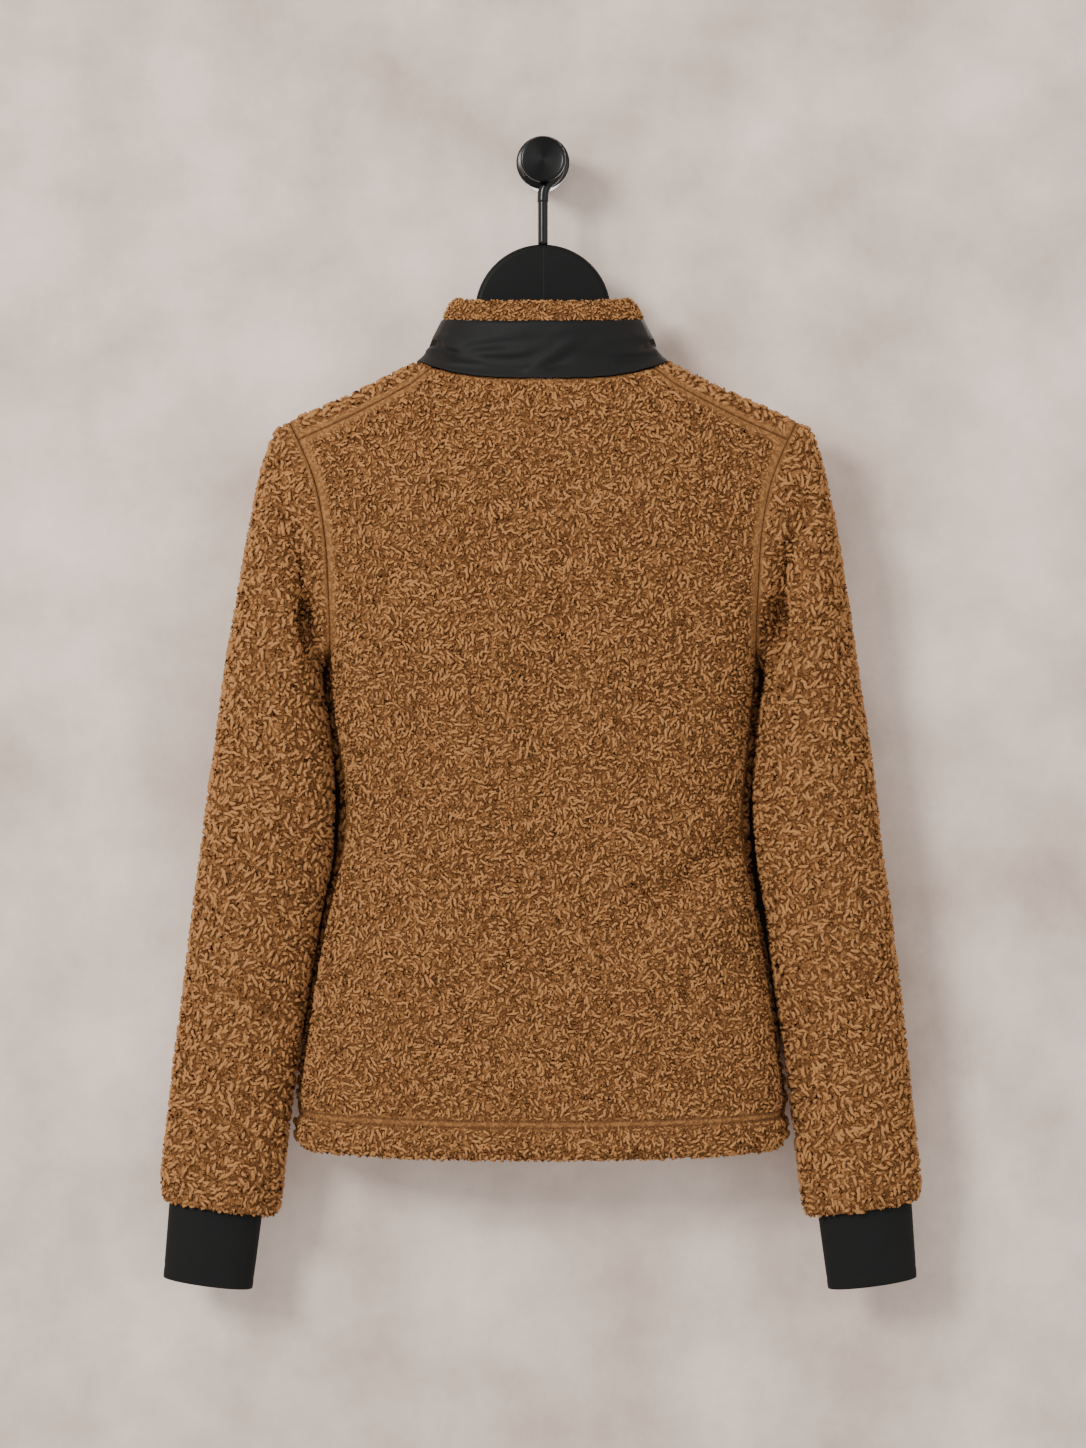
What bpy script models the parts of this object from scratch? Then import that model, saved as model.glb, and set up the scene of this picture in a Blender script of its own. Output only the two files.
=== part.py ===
"""A women's teddy jacket, hollow and filled out, on a black hanger hung from a round wall knob.

The jacket's back faces -Y and its front faces the wall, which is the plane Y = 0. +Z is up and the
origin is the centre of the knob's wall face. Tables are in millimetres, everything else is in metres.
"""

import math

import bmesh
import bpy
import numpy as np
from mathutils import Matrix, Vector

MM = 0.001

# Cloth
FLEECE = 0.005
BAND = 0.003
CUFF = 0.0015
SEAM_GAP = 0.0003
HALF_GAP = SEAM_GAP / 2
TOP_GAP = 0.00018

# Body of the jacket: its hanging plane, shoulder ridge and neck
HANG_Y = -0.055
NECK_POINT = (0.1008, -0.1597)
SHOULDER_SLOPE = 0.53
RIDGE_ROUND = 0.05
RIDGE_ROLL = 0.02
SECTION_POWER = 2.6
ARCH_POWER = 1.3
BACK_ARCH = 0.12
FRONT_ARCH = 0.085
BACK_NECK_DROP = 0.0173
FRONT_NECK_DROP = 0.0733
SEAM_APPROACH = 0.0955
SEAM_JUNCTION = 0.0885
ZIP_HALF = 0.0093
HEM_Z = -0.785
HEM_DIP = 0.004
UNDERARM = -398

# Outline of the body at each height: half widths to the left and right, depths behind and in front
BODY_COLUMNS = ("height", "left", "right", "back", "front")
BODY = (
    (-800, 194.0, 191.5, 62, 42),
    (-752, 193.4, 191.6, 62, 42),
    (-737, 192.8, 190.1, 62, 42),
    (-701, 188.1, 185.4, 61, 42),
    (-669, 184.0, 181.2, 60, 41),
    (-641, 179.2, 177.2, 59, 41),
    (-600, 171.4, 169.2, 57, 40),
    (-578, 165.8, 164.8, 56, 40),
    (-556, 160.3, 161.3, 55, 40),
    (-534, 157.4, 159.2, 55, 40),
    (-512, 155.9, 158.8, 55, 40),
    (-496, 157.2, 160.0, 56, 41),
    (-473, 161.4, 162.3, 58, 42),
    (-447, 165.6, 164.9, 61, 43),
    (-415, 168.6, 168.0, 65, 44),
    (-398, 169.6, 169.6, 67, 45),
    (-380, 176.0, 176.0, 68, 45),
    (-350, 187.0, 186.0, 70, 45),
    (-303, 200.0, 199.0, 72, 45),
    (-259, 214.0, 213.0, 72, 45),
    (-226, 225.0, 224.0, 72, 45),
    (-190, 233.0, 232.0, 72, 45),
    (-100, 238.0, 237.0, 72, 45),
)

# Half width of the armhole seam at each height
ARMHOLE_COLUMNS = ("height", "half_width")
ARMHOLE = (
    (-398, 169.8),
    (-380, 168.8),
    (-334, 170.0),
    (-303, 171.6),
    (-259, 179.6),
    (-226, 192.5),
    (-212, 199.0),
    (-190, 208.0),
)

# Turned-up hem: height above the edge, how far the face stands out, and the doubled thickness
HEM_COLUMNS = ("height", "out", "thick")
HEM = (
    (0, -1.5, 6.0),
    (6, 2.2, 9.0),
    (17, 2.6, 9.5),
    (24, -1.2, 5.5),
    (31, 0.0, 5.0),
)

# Heights of the rows of points up the side seam and round the armhole
SIDE_ROWS = (-718, -680, -641, -603, -568, -534, -505, -476, -448, -423, UNDERARM)
ARMHOLE_ROWS = (-386, -366, -338, -305, -272, -245)

# Columns of points along the top edges
FRONT_NECK_TURNS = (66, 48, 31, 15, 0)
BACK_NECK_COLUMNS = (0, 18, 36, 54, 72)
SHOULDER_COLUMNS = (105, 125, 148, 171)
RIDGE_COLUMNS = (104.5, 109, 116, 131.5, 151.5, 173)
OVER_RIDGE = (1, 0.5, 0.2, 0, -0.2, -0.5, -1)
SHOULDER_SEAM_COLUMNS = ("half_width", "below_ridge")
SHOULDER_SEAM = ((88.5, 11.3), (105, 17.0), (125, 18.5), (148, 19.0), (171, 18.5), (196, 17.5))

# Soft folds: the ends of each fold's line, its half width, and how far it stands out or sinks in.
# They fade out toward the sides and up toward the shoulders.
FOLD_EDGE = 0.02
FOLD_FADE = 0.2
FOLD_COLUMNS = ("x0", "z0", "x1", "z1", "half_width", "out")
BACK_FOLDS = (
    (165, -534, 68, -602, 13, -5.0),
    (150, -592, 75, -634, 18, 2.5),
    (-150, -520, -95, -560, 16, -2.0),
    (-30, -352, -88, -625, 26, 2.0),
    (-152, -325, -130, -380, 18, -2.5),
)
FRONT_FOLDS = (
    (-160, -530, -80, -590, 14, -3.0),
    (155, -540, 90, -575, 15, -2.5),
    (45, -360, 80, -600, 24, 1.5),
    (140, -320, 120, -390, 16, -2.0),
)

# Sleeves: height and reach of the outer edge, then of the inner edge, then depths behind and in front
SLEEVE_COLUMNS = (
    "outer_z", "outer_left", "outer_right", "inner_z", "inner_left", "inner_right", "back", "front",
)
SLEEVE = (
    (-212, 200.4, 198.4, -398, 169.6, 169.6, 44, 30),
    (-219, 211.9, 210.9, -402, 172.6, 172.8, 45, 33),
    (-232, 219.3, 217.7, -406, 174.6, 174.8, 45, 35),
    (-253, 226.8, 225.2, -411, 175.6, 175.8, 46, 37),
    (-278, 231.9, 231.1, -417, 175.6, 176.0, 46, 38),
    (-307, 237.6, 236.8, -424, 174.6, 174.8, 46, 39),
    (-338, 242.9, 241.5, -433, 172.8, 173.2, 46, 40),
    (-372, 248.7, 247.2, -444, 170.8, 171.2, 46, 40),
    (-407, 254.5, 252.1, -457, 169.4, 170.0, 45, 40),
    (-443, 259.1, 257.5, -474, 167.6, 168.8, 44, 40),
    (-478, 263.8, 263.0, -497, 166.4, 167.4, 43, 40),
    (-514, 269.0, 267.0, -527, 166.4, 167.6, 42, 40),
    (-550, 273.4, 271.0, -561, 168.6, 171.0, 41, 39),
    (-589, 278.7, 277.1, -601, 176.6, 177.5, 40, 38),
    (-629, 284.0, 281.7, -641, 183.0, 182.0, 39, 37),
    (-673, 289.1, 287.4, -685, 190.4, 188.0, 38, 36),
    (-717, 295.0, 291.8, -730, 197.1, 194.4, 36, 35),
    (-757, 299.5, 295.8, -771, 202.0, 199.6, 35, 34),
    (-789, 303.2, 299.7, -803, 205.5, 203.1, 34, 33),
    (-807, 305.0, 301.8, -821, 207.1, 204.9, 33, 32),
    (-816, 305.2, 302.2, -830, 208.6, 206.0, 32, 31),
    (-827, 304.0, 301.0, -840, 211.9, 209.1, 30, 29),
)
SEAM_SHARE = (1.0, 0.86, 0.66, 0.44, 0.26, 0.13, 0.05)
EVEN_BY_RING = 8
FITTED_RINGS = 2

# How far the armhole seam's wall tilts from the plane of the armhole toward the body's own wall
SEAM_TILT = 0.4

# Drape fold beside the armhole on the back and front of each sleeve
SLEEVE_FOLD_EDGE = 0.025
SLEEVE_FOLDS = (
    (207, -271, 200, -295, 10, -2.0),
    (200, -295, 191, -325, 10, -3.5),
    (191, -325, 180, -381, 11, -5.0),
)

# Cuffs: height and reach of the outer edge, then of the inner edge, then half depth
CUFF_COLUMNS = (
    "outer_z", "outer_left", "outer_right", "inner_z", "inner_left", "inner_right", "depth",
)
CUFF_TOP = (-815, 297.0, 293.2, -829, 222.6, 218.0, 24.0)
CUFF_END = (-889.5, 302.9, 298.2, -899.0, 231.9, 227.5, 21.5)
CUFF_SHARES = (0.0, 0.15, 0.55, 1.0)

# Collar: rings from the neck seam to the top of the stand, and the section of the roll
BAND_COLUMNS = ("share", "inward")
BAND_RINGS = ((0.0, 0.0), (0.14, 2.2), (0.28, 3.2), (0.6, 1.2), (1.0, 0.0))
BAND_TOP_HALF = 0.0812
BAND_TOP_Z = -0.127
BAND_BACK_DROP = 0.005
BAND_FRONT_DROP = 0.061
BAND_BACK_LEAN = 0.88
BAND_FRONT_LEAN = 0.80
ROLL_COLUMNS = ("up", "inward")
ROLL = (
    (0.3, 0.0), (3.5, 0.2), (7.5, 2.0), (12.0, 4.2), (16.0, 7.4),
    (18.4, 10.8), (17.6, 14.2), (13.0, 15.6), (6.0, 14.0), (1.6, 10.0), (0.3, 3.0),
)

# Zip: distance from the middle and height above the tape's face, for one side
ZIP_SECTION_COLUMNS = ("from_middle", "out")
ZIP_SECTION = (
    (9.0, 0.0), (3.0, 0.0), (2.8, 0.8), (0.15, 0.8),
    (0.15, -1.6), (2.8, -1.6), (3.0, -1.1), (9.0, -1.1),
)
ZIP_SET_BACK = 0.0014
SLIDER_BELOW_ROLL = 0.010
SLIDER = (0.009, 0.0028, 0.011)
SLIDER_BELOW_PIN = 0.0044
POST = (0.0012, 0.0052, 0.0032)
POST_SIDE = 0.0032
POST_BELOW_PIN = 0.0016
PIN_HEIGHT = 0.0069
PIN_RADIUS = 0.0010
PIN_LENGTH = 0.0064
EYE_RADIUS = 0.0024
EYE_WIDTH = 0.0044
EYE_HOLE = 0.0013
EYE_HOLE_LENGTH = 0.008
STRAP = (0.0042, 0.0013, 0.0062)
STRAP_BELOW_PIN = 0.0044
PULL_LENGTH = 0.022
PULL_WIDTH = 0.0066
PULL_THICK = 0.0016
GRIP_BELOW_PIN = 0.005

# Hanger, its hook and the wall knob
DOME_RADIUS = 0.0543
DOME_CENTRE_Z = -0.1209
HANGER_HALF_THICK = 0.0055
HANGER_SEAT = 0.0018
HANGER_ROUND = 0.0044
DOME_STEPS = 8
HANGER_ARM_START = DOME_RADIUS + 0.004
HANGER_ARM_STEPS = 9
HANGER_TIP = 0.186
HANGER_TIP_ROUND = (0.006, 0.010)
HANGER_DEEP = 0.036
HANGER_TIP_DEEP = 0.020
HANGER_ARCH = ((0.03, 0.011), (0.0, 0.015))
ROD_RADIUS = 0.004
LOOP_RADIUS = 0.0135
LOOP_DEGREES = range(-50, 211, 20)
ROD_LINE = ((0.0, -0.045), (0.0, -0.030), (0.0004, -0.0245), (0.0026, -0.0195))
HANGER_Y = -0.0565
NECK_RADIUS = 0.0055
KNOB_SIDES = 40

# Turned outline of the knob from the wall outward: distance from the wall and radius
KNOB_COLUMNS = ("out", "radius")
KNOB = (
    (0.0, 16.0), (18.0, 17.6), (36.0, 19.9), (46.0, 21.1), (50.4, 21.3),
    (52.2, 20.2), (52.2, 5.5), (60.8, 5.5), (60.8, 17.0), (61.8, 17.9), (68.0, 17.9), (69.4, 16.8),
)


def smooth(table, column, at):
    """Reads one column of a table at any height, as a smooth curve through its rows."""
    rows = np.array(table, dtype=float)
    rows = rows[np.argsort(rows[:, 0])]
    level, value = rows[:, 0] * MM, rows[:, column] * MM
    step = np.diff(level)
    rise = np.diff(value) / step
    slope = np.empty_like(value)
    slope[1:-1] = np.where(rise[:-1] * rise[1:] > 0, (rise[:-1] + rise[1:]) / 2, 0.0)
    slope[0], slope[-1] = rise[0], rise[-1]
    at = np.clip(at, level[0], level[-1])
    k = np.clip(np.searchsorted(level, at) - 1, 0, len(step) - 1)
    t = (at - level[k]) / step[k]
    start = value[k] * (1 + 2 * t) * (1 - t) ** 2 + step[k] * slope[k] * t * (1 - t) ** 2
    end = value[k + 1] * t**2 * (3 - 2 * t) + step[k] * slope[k + 1] * t**2 * (t - 1)
    return start + end


def ridge(x):
    """Height of the shoulder ridge, a straight slope rounded where it would cross the middle."""
    return NECK_POINT[1] - SHOULDER_SLOPE * (
        np.hypot(x, RIDGE_ROUND) - math.hypot(NECK_POINT[0], RIDGE_ROUND)
    )


def drop(fall):
    """Distance below the ridge for a signed fall: positive down the front, negative down the back."""
    return np.sqrt(fall**2 + RIDGE_ROLL**2) - RIDGE_ROLL


def fall_for(below):
    """The fall that lies a given distance below the ridge."""
    return np.sqrt((np.maximum(below, 0.0) + RIDGE_ROLL) ** 2 - RIDGE_ROLL**2)


def arch(below, length):
    """Share of the full depth that the cloth has reached at a distance below the ridge."""
    return np.sqrt(1 - (1 - np.clip(below / length, 0, 1)) ** ARCH_POWER)


def half_width(z, right):
    """Half width of the body on the left or right at height z."""
    return np.where(right, smooth(BODY, 2, z), smooth(BODY, 1, z))


def torso(turn, fall):
    """Point on the body's outer face.

    turn goes from 0 in the middle to a quarter turn at the side seam, negative on the left. fall
    goes over the shoulder, down the front where it is positive and down the back where negative.
    """
    turn, fall = np.broadcast_arrays(np.asarray(turn, float), np.asarray(fall, float))
    z = np.full(turn.shape, -0.4)
    below = drop(fall)
    for _ in range(40):
        x = half_width(z, turn > 0) * np.sin(turn)
        z = ridge(x) - below
    facing = np.sign(np.cos(turn)) * np.sign(fall)
    depth = np.where(
        facing > 0,
        smooth(BODY, 4, z) * arch(below, FRONT_ARCH),
        smooth(BODY, 3, z) * arch(below, BACK_ARCH),
    )
    share = np.maximum(1 - np.abs(np.sin(turn)) ** SECTION_POWER, 0) ** (1 / SECTION_POWER)
    return np.stack([x, HANG_Y + facing * depth * share, z], axis=-1)


def torso_normal(turn, fall):
    """Outward direction of the body's face, from small steps both ways."""
    step = 1e-4
    across = torso(turn + step, fall) - torso(turn - step, fall)
    along = torso(turn, fall + step) - torso(turn, fall - step)
    normal = unit(np.cross(across, along))
    point = torso(turn, fall)
    inside = point * (0.6, 0, 1) + (0, HANG_Y, -0.03)
    return normal * np.sign(((point - inside) * normal).sum(-1, keepdims=True))


def unit(vectors):
    """Vectors scaled to length one."""
    return vectors / np.maximum(np.linalg.norm(vectors, axis=-1, keepdims=True), 1e-12)


def turn_for(x, z, right):
    """The turn at which the body is x from the middle at height z."""
    return np.arcsin(np.clip(x / half_width(z, right), -1, 1))


def fold_push(table, x, z):
    """How far the folds in a table move the cloth out at x, z."""
    push = np.zeros(np.shape(x))
    for x0, z0, x1, z1, wide, out in np.array(table) * MM:
        run = np.array([x1 - x0, z1 - z0])
        length = np.hypot(*run)
        along = ((x - x0) * run[0] + (z - z0) * run[1]) / length**2
        off = ((x - x0) * run[1] - (z - z0) * run[0]) / length
        past = np.maximum(np.abs(along - 0.5) - 0.5, 0) * length
        fade = np.exp(-((past / (1.5 * wide)) ** 2)) * (0.6 + 0.4 * np.cos(math.pi * (along - 0.35)))
        push += out * np.exp(-((off / wide) ** 2)) * fade
    return push


def armhole_point(fall, right):
    """Turn and height of the armhole seam for a fall, solved on the armhole's own outline."""
    z = np.full(np.shape(fall), -0.25)
    for _ in range(60):
        x = smooth(ARMHOLE, 1, z)
        z = 0.5 * z + 0.5 * (ridge(x) - drop(fall))
    return turn_for(x, z, right), z


def top_edge(front, right):
    """Turn and fall of each point along a panel's top edge, from the middle to the armhole."""
    seam = np.array(SHOULDER_SEAM) * MM
    points = []
    if front:
        for turn in FRONT_NECK_TURNS:
            x = NECK_POINT[0] * math.cos(math.radians(turn))
            z = NECK_POINT[1] - FRONT_NECK_DROP * math.sin(math.radians(turn))
            points.append((x, z, 1))
        x = ZIP_HALF
        z = NECK_POINT[1] - FRONT_NECK_DROP * math.sqrt(1 - (x / NECK_POINT[0]) ** 2)
        points.insert(0, (x, z, 1))
        columns = (SEAM_APPROACH, SEAM_JUNCTION)
    else:
        columns = tuple(c * MM for c in BACK_NECK_COLUMNS) + (SEAM_JUNCTION,)
    for x in columns:
        z = NECK_POINT[1] - BACK_NECK_DROP * (1 - (x / NECK_POINT[0]) ** 3)
        points.append((x, z, -1))
    for x in (c * MM for c in SHOULDER_COLUMNS):
        points.append((x, ridge(x) - np.interp(x, seam[:, 0], seam[:, 1]), -1))
    x, z, way = np.array(points).T
    fall = way * fall_for(ridge(x) - z)
    turn = turn_for(x, z, right)
    end = -fall_for(seam[-1, 1])
    armhole_turn, _ = armhole_point(np.array([end]), right)
    return np.append(turn, armhole_turn), np.append(fall, end)


def panel(front, right):
    """Outer points, directions and thicknesses of half a back, or of one front, row by row upward."""
    way = 1 if front else -1
    hem = np.array(HEM) * MM
    top_turn, top_fall = top_edge(front, right)
    seam_fall = -top_fall[-1]
    edge_z = np.concatenate([HEM_Z + hem[:, 0], np.array(SIDE_ROWS) * MM])
    edge_x = half_width(edge_z, right)
    side_fall = way * fall_for(ridge(edge_x) - edge_z)
    arm_z = np.array(ARMHOLE_ROWS) * MM
    arm_fall = way * fall_for(ridge(smooth(ARMHOLE, 1, arm_z)) - arm_z)
    over = seam_fall * np.array(OVER_RIDGE) if front else np.array([-seam_fall])
    arm_fall = np.concatenate([arm_fall, over])
    arm_turn, _ = armhole_point(arm_fall, right)
    edge_fall = np.concatenate([side_fall, arm_fall])
    edge_turn = np.concatenate([np.full(len(side_fall), math.pi / 2), arm_turn])

    last = len(hem) - 1
    share = np.clip((edge_fall - edge_fall[last]) / (edge_fall[-1] - edge_fall[last]), 0, 1)
    columns = np.linspace(0, 1, len(top_turn))
    start_turn = columns * math.pi / 2
    if front:
        first = turn_for(ZIP_HALF, HEM_Z, right)
        start_turn = first + columns * (math.pi / 2 - first)
    hem_x = half_width(HEM_Z, right) * np.sin(start_turn)
    dip = 0.0 if front else HEM_DIP
    hem_z = HEM_Z - dip * np.cos(start_turn) ** 2
    low = hem_z[None] + np.minimum(edge_z[: last + 1, None] - HEM_Z, hem[-1, 0])
    low_fall = way * fall_for(ridge(hem_x)[None] - low)
    fall = low_fall[-1] + share[:, None] * (top_fall - low_fall[-1])
    fall[: last + 1] = low_fall
    low_part, top_part = start_turn / start_turn[-1], top_turn / top_turn[-1]
    part = (1 - share[:, None]) * low_part + share[:, None] * top_part
    if front:
        count = len(RIDGE_COLUMNS)
        ridge_x = np.array(RIDGE_COLUMNS) * MM
        crossing = turn_for(ridge_x, ridge(ridge_x), right) / armhole_point(np.zeros(1), right)[0]
        for column, middle in zip(range(len(top_turn) - 1 - count, len(top_turn) - 1), crossing):
            nodes = (top_fall[column], 0.0, low_fall[-1, column])
            parts = (top_part[column], middle, low_part[column])
            part[last:, column] = np.interp(fall[last:, column], nodes, parts)
    turn = edge_turn[:, None] * part
    if front:
        for _ in range(8):
            z0 = torso(turn[:, 0], fall[:, 0])[:, 2]
            turn[:, 0] = turn_for(ZIP_HALF, z0, right)
    fall[-1] += way * TOP_GAP
    if not right:
        turn = -turn

    normal = torso_normal(turn, fall)
    point = torso(turn, fall)
    behind = (point[..., 1] - HANG_Y) * way
    below = ridge(point[..., 0]) - point[..., 2]
    mask = np.clip(behind / FOLD_EDGE, 0, 1) ** 2 * np.clip((FOLD_EDGE + below) / FOLD_FADE, 0, 1)
    push = fold_push(FRONT_FOLDS if front else BACK_FOLDS, point[..., 0], point[..., 2]) * mask
    push[: last + 1] += hem[:, 1][:, None]
    thick = np.full(point.shape[:2], FLEECE)
    thick[: last + 1] = hem[:, 2][:, None]
    if front:
        normal[:, 0, 0] = 0
        normal[:, 0] = unit(normal[:, 0])
    side = len(side_fall)
    normal[:side, -1, 1] = 0
    normal[:side, -1] = unit(normal[:side, -1])
    point = point + normal * push[..., None]
    point[:side, -1, 1] += way * HALF_GAP
    return point, normal, thick, side


def armhole(back, front):
    """Seam points of one armhole and their directions away from the arm, and where each panel has them.

    The points run from the underarm up the back to the shoulder seam, over the ridge and down the front.
    """
    first = back[3] - 1

    def joined(what):
        back_edge, front_edge = back[what][first:, -1], front[what][first:, -1]
        under, over = (back_edge[0] + front_edge[0]) / 2, (back_edge[-1] + front_edge[-1]) / 2
        return np.concatenate([[under], back_edge[1:-1], [over], front_edge[1:-1][::-1]])

    loop = joined(0)
    along = np.roll(loop, -1, axis=0) - np.roll(loop, 1, axis=0)
    away = unit(np.stack([np.zeros(len(loop)), -along[:, 2], along[:, 1]], axis=-1))
    middle = loop.mean(axis=0)
    away *= np.sign(((loop - middle) * away).sum(-1).mean())
    return loop, unit(away + SEAM_TILT * joined(1)), len(back[0]) - first


def seat_edges(back, front, away, count):
    """Gives both panels the seam's own directions along the armhole."""
    side = back[3]
    back[1][side - 1 :, -1] = away[:count]
    front[1][side - 1 :, -1] = np.concatenate([away[:1], away[count - 1 :][::-1]])


def sleeve(right, loop, away):
    """Outer and inner points of a sleeve, ring by ring from the armhole to the sleeve's end."""
    table = np.array(SLEEVE) * MM
    sign = 1 if right else -1
    reach = 2 if right else 1
    outer = np.stack([sign * table[:, reach], np.full(len(table), HANG_Y), table[:, 0]], axis=-1)
    inner = np.stack([sign * table[:, reach + 3], np.full(len(table), HANG_Y), table[:, 3]], axis=-1)
    middle, half = (outer + inner) / 2, (outer - inner) / 2
    back, front = table[:, 6], table[:, 7]
    count = len(loop)
    length = np.linalg.norm(half[0])
    across = ((loop - middle[0]) * half[0] / length**2).sum(-1)
    toward = loop[:, 1] - HANG_Y
    seam_angle = np.unwrap(np.arctan2(toward / np.where(toward < 0, back[0], front[0]), across))
    even = math.pi + 2 * math.pi * np.arange(count) / count
    seam_angle += 2 * math.pi * np.round((even[0] - seam_angle[0]) / (2 * math.pi))

    def ring(k, angle):
        depth = np.where(np.sin(angle) < 0, back[k], front[k])
        return (
            middle[k]
            + half[k] * np.cos(angle)[:, None]
            + np.array([0, 1, 0]) * (depth * np.sin(angle))[:, None]
        )

    left_over = loop - ring(0, seam_angle)
    rings = []
    for k in range(len(table)):
        q = min(k / EVEN_BY_RING, 1)
        q = q * q * (3 - 2 * q)
        share = SEAM_SHARE[k] if k < len(SEAM_SHARE) else 0.0
        rings.append(ring(k, (1 - q) * seam_angle + q * even) + share * left_over)
    points = np.array(rings)
    points[0] = loop
    normals = grid_normals(points, middle[:, None])
    mask = np.clip(np.abs(points[..., 1] - HANG_Y) / SLEEVE_FOLD_EDGE, 0, 1) ** 2
    mask[0] = 0
    push = fold_push(SLEEVE_FOLDS, np.abs(points[..., 0]), points[..., 2]) * mask
    points = points + normals * push[..., None]
    normals[0] = away
    points[0] = loop + np.array([sign * SEAM_GAP, 0, 0])
    inside = points - normals * FLEECE
    fitted = cuff_rings(right, np.array(CUFF_SHARES[:FITTED_RINGS]), even, SEAM_GAP)[0]
    inside[-FITTED_RINGS:] = fitted
    return points, inside, even


def grid_normals(points, middle):
    """Outward directions of a tube given ring by ring."""
    around = np.roll(points, -1, axis=1) - np.roll(points, 1, axis=1)
    along = np.gradient(points, axis=0)
    normals = unit(np.cross(around, along))
    return normals * np.sign((normals * (points - middle)).sum(-1).mean())


def cuff_rings(right, shares, angles, grow):
    """Rings of a cuff at shares of its length, made larger all round by grow, and the same inside."""
    reach = 2 if right else 1
    sign = 1 if right else -1
    outside, inside = [], []
    for share in shares:
        row = (1 - share) * np.array(CUFF_TOP) + share * np.array(CUFF_END)
        row = row * MM
        outer = np.array([sign * row[reach], HANG_Y, row[0]])
        inner = np.array([sign * row[reach + 3], HANG_Y, row[3]])
        middle, half = (outer + inner) / 2, (outer - inner) / 2
        length = np.linalg.norm(half)
        for offset, found in ((grow, outside), (-CUFF, inside)):
            found.append(
                middle
                + half * (1 + offset / length) * np.cos(angles)[:, None]
                + np.array([0, 1, 0]) * ((row[6] + offset) * np.sin(angles))[:, None]
            )
    return np.array(outside), np.array(inside)


def neck_line(panels):
    """Points along the neck seam from the right side of the zip round the back to the left side."""
    left_front, right_front = panels["front_left"][0][-1], panels["front_right"][0][-1]
    right_back, left_back = panels["back_right"][0][-1], panels["back_left"][0][-1]
    join = len(FRONT_NECK_TURNS) + 2
    back_join = len(BACK_NECK_COLUMNS)
    return np.concatenate(
        [
            right_front[:join],
            [(right_front[join] + right_back[back_join]) / 2],
            right_back[1:back_join][::-1],
            left_back[:back_join],
            [(left_front[join] + left_back[back_join]) / 2],
            left_front[:join][::-1],
        ]
    )


def inward(points):
    """Level directions from a collar ring toward the neck."""
    along = np.gradient(points[:, :2], axis=0)
    away = unit(np.stack([along[:, 1], -along[:, 0]], axis=-1))
    toward = np.array([0, HANG_Y]) - points[:, :2]
    away *= np.sign((away * toward).sum(-1).mean())
    level = np.concatenate([away, np.zeros((len(away), 1))], axis=1)
    level[[0, -1], 0] = 0
    return unit(level)


def collar(neck):
    """Rings of the collar stand, outer and inner, and the level directions inward."""
    x, y, z = neck.T
    back_share = np.clip((NECK_POINT[1] - z) / BACK_NECK_DROP, 0, 1)
    front_share = np.clip((NECK_POINT[1] - z) / FRONT_NECK_DROP, 0, 1)
    behind = y < HANG_Y
    top = np.stack(
        [
            np.where(np.abs(x) <= ZIP_HALF + 1e-4, x, x * BAND_TOP_HALF / NECK_POINT[0]),
            HANG_Y + (y - HANG_Y) * np.where(behind, BAND_BACK_LEAN, BAND_FRONT_LEAN),
            BAND_TOP_Z - np.where(behind, BAND_BACK_DROP * back_share, BAND_FRONT_DROP * front_share),
        ],
        axis=-1,
    )
    start = neck + unit(top - neck) * SEAM_GAP
    level = inward(neck)
    outside, inside = [], []
    for share, inset in BAND_RINGS:
        ring = start * (1 - share) + top * share + level * inset * MM
        outside.append(ring)
        inside.append(ring + level * BAND)
    return np.array(outside), np.array(inside), level


def mesh_object(name, points, faces, material, smooth_angle=40):
    """A closed mesh object with its faces turned outward."""
    mesh = bpy.data.meshes.new(name)
    mesh.from_pydata([tuple(map(float, p)) for p in points], [], faces)
    work = bmesh.new()
    work.from_mesh(mesh)
    bmesh.ops.recalc_face_normals(work, faces=work.faces)
    if work.calc_volume(signed=True) < 0:
        bmesh.ops.reverse_faces(work, faces=work.faces)
    work.to_mesh(mesh)
    work.free()
    mesh.materials.append(material)
    mesh.shade_smooth()
    mesh.set_sharp_from_angle(angle=math.radians(smooth_angle))
    thing = bpy.data.objects.new(name, mesh)
    bpy.context.scene.collection.objects.link(thing)
    return thing


def grid_faces(rows, columns, closed):
    """Faces of a grid of points, numbered from 0, closed round its columns or not."""
    reach = columns if closed else columns - 1
    return [
        (r * columns + c, r * columns + (c + 1) % columns, (r + 1) * columns + (c + 1) % columns,
         (r + 1) * columns + c)
        for r in range(rows - 1)
        for c in range(reach)
    ]


def wall(name, outside, inside, material, closed=False):
    """A wall of cloth between two grids of points, with its edges closed."""
    rows, columns = outside.shape[:2]
    points = np.concatenate([outside.reshape(-1, 3), inside.reshape(-1, 3)])
    under = rows * columns
    faces = grid_faces(rows, columns, closed)
    faces += [tuple(under + i for i in reversed(face)) for face in faces]
    rim = [[r * columns + c for c in range(columns)] for r in (0, rows - 1)]
    if closed:
        rim = [line + line[:1] for line in rim]
    else:
        rim += [[r * columns + c for r in range(rows)] for c in (0, columns - 1)]
    for line in rim:
        faces += [(b, under + b, under + a, a) for a, b in zip(line, line[1:])]
    return mesh_object(name, points, faces, material)


def swept(name, sections, material):
    """A closed bar through sections that all have the same number of points."""
    rows, columns = sections.shape[:2]
    faces = grid_faces(rows, columns, True)
    faces += [tuple(range(columns))[::-1], tuple((rows - 1) * columns + c for c in range(columns))]
    return mesh_object(name, sections.reshape(-1, 3), faces, material)


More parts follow.
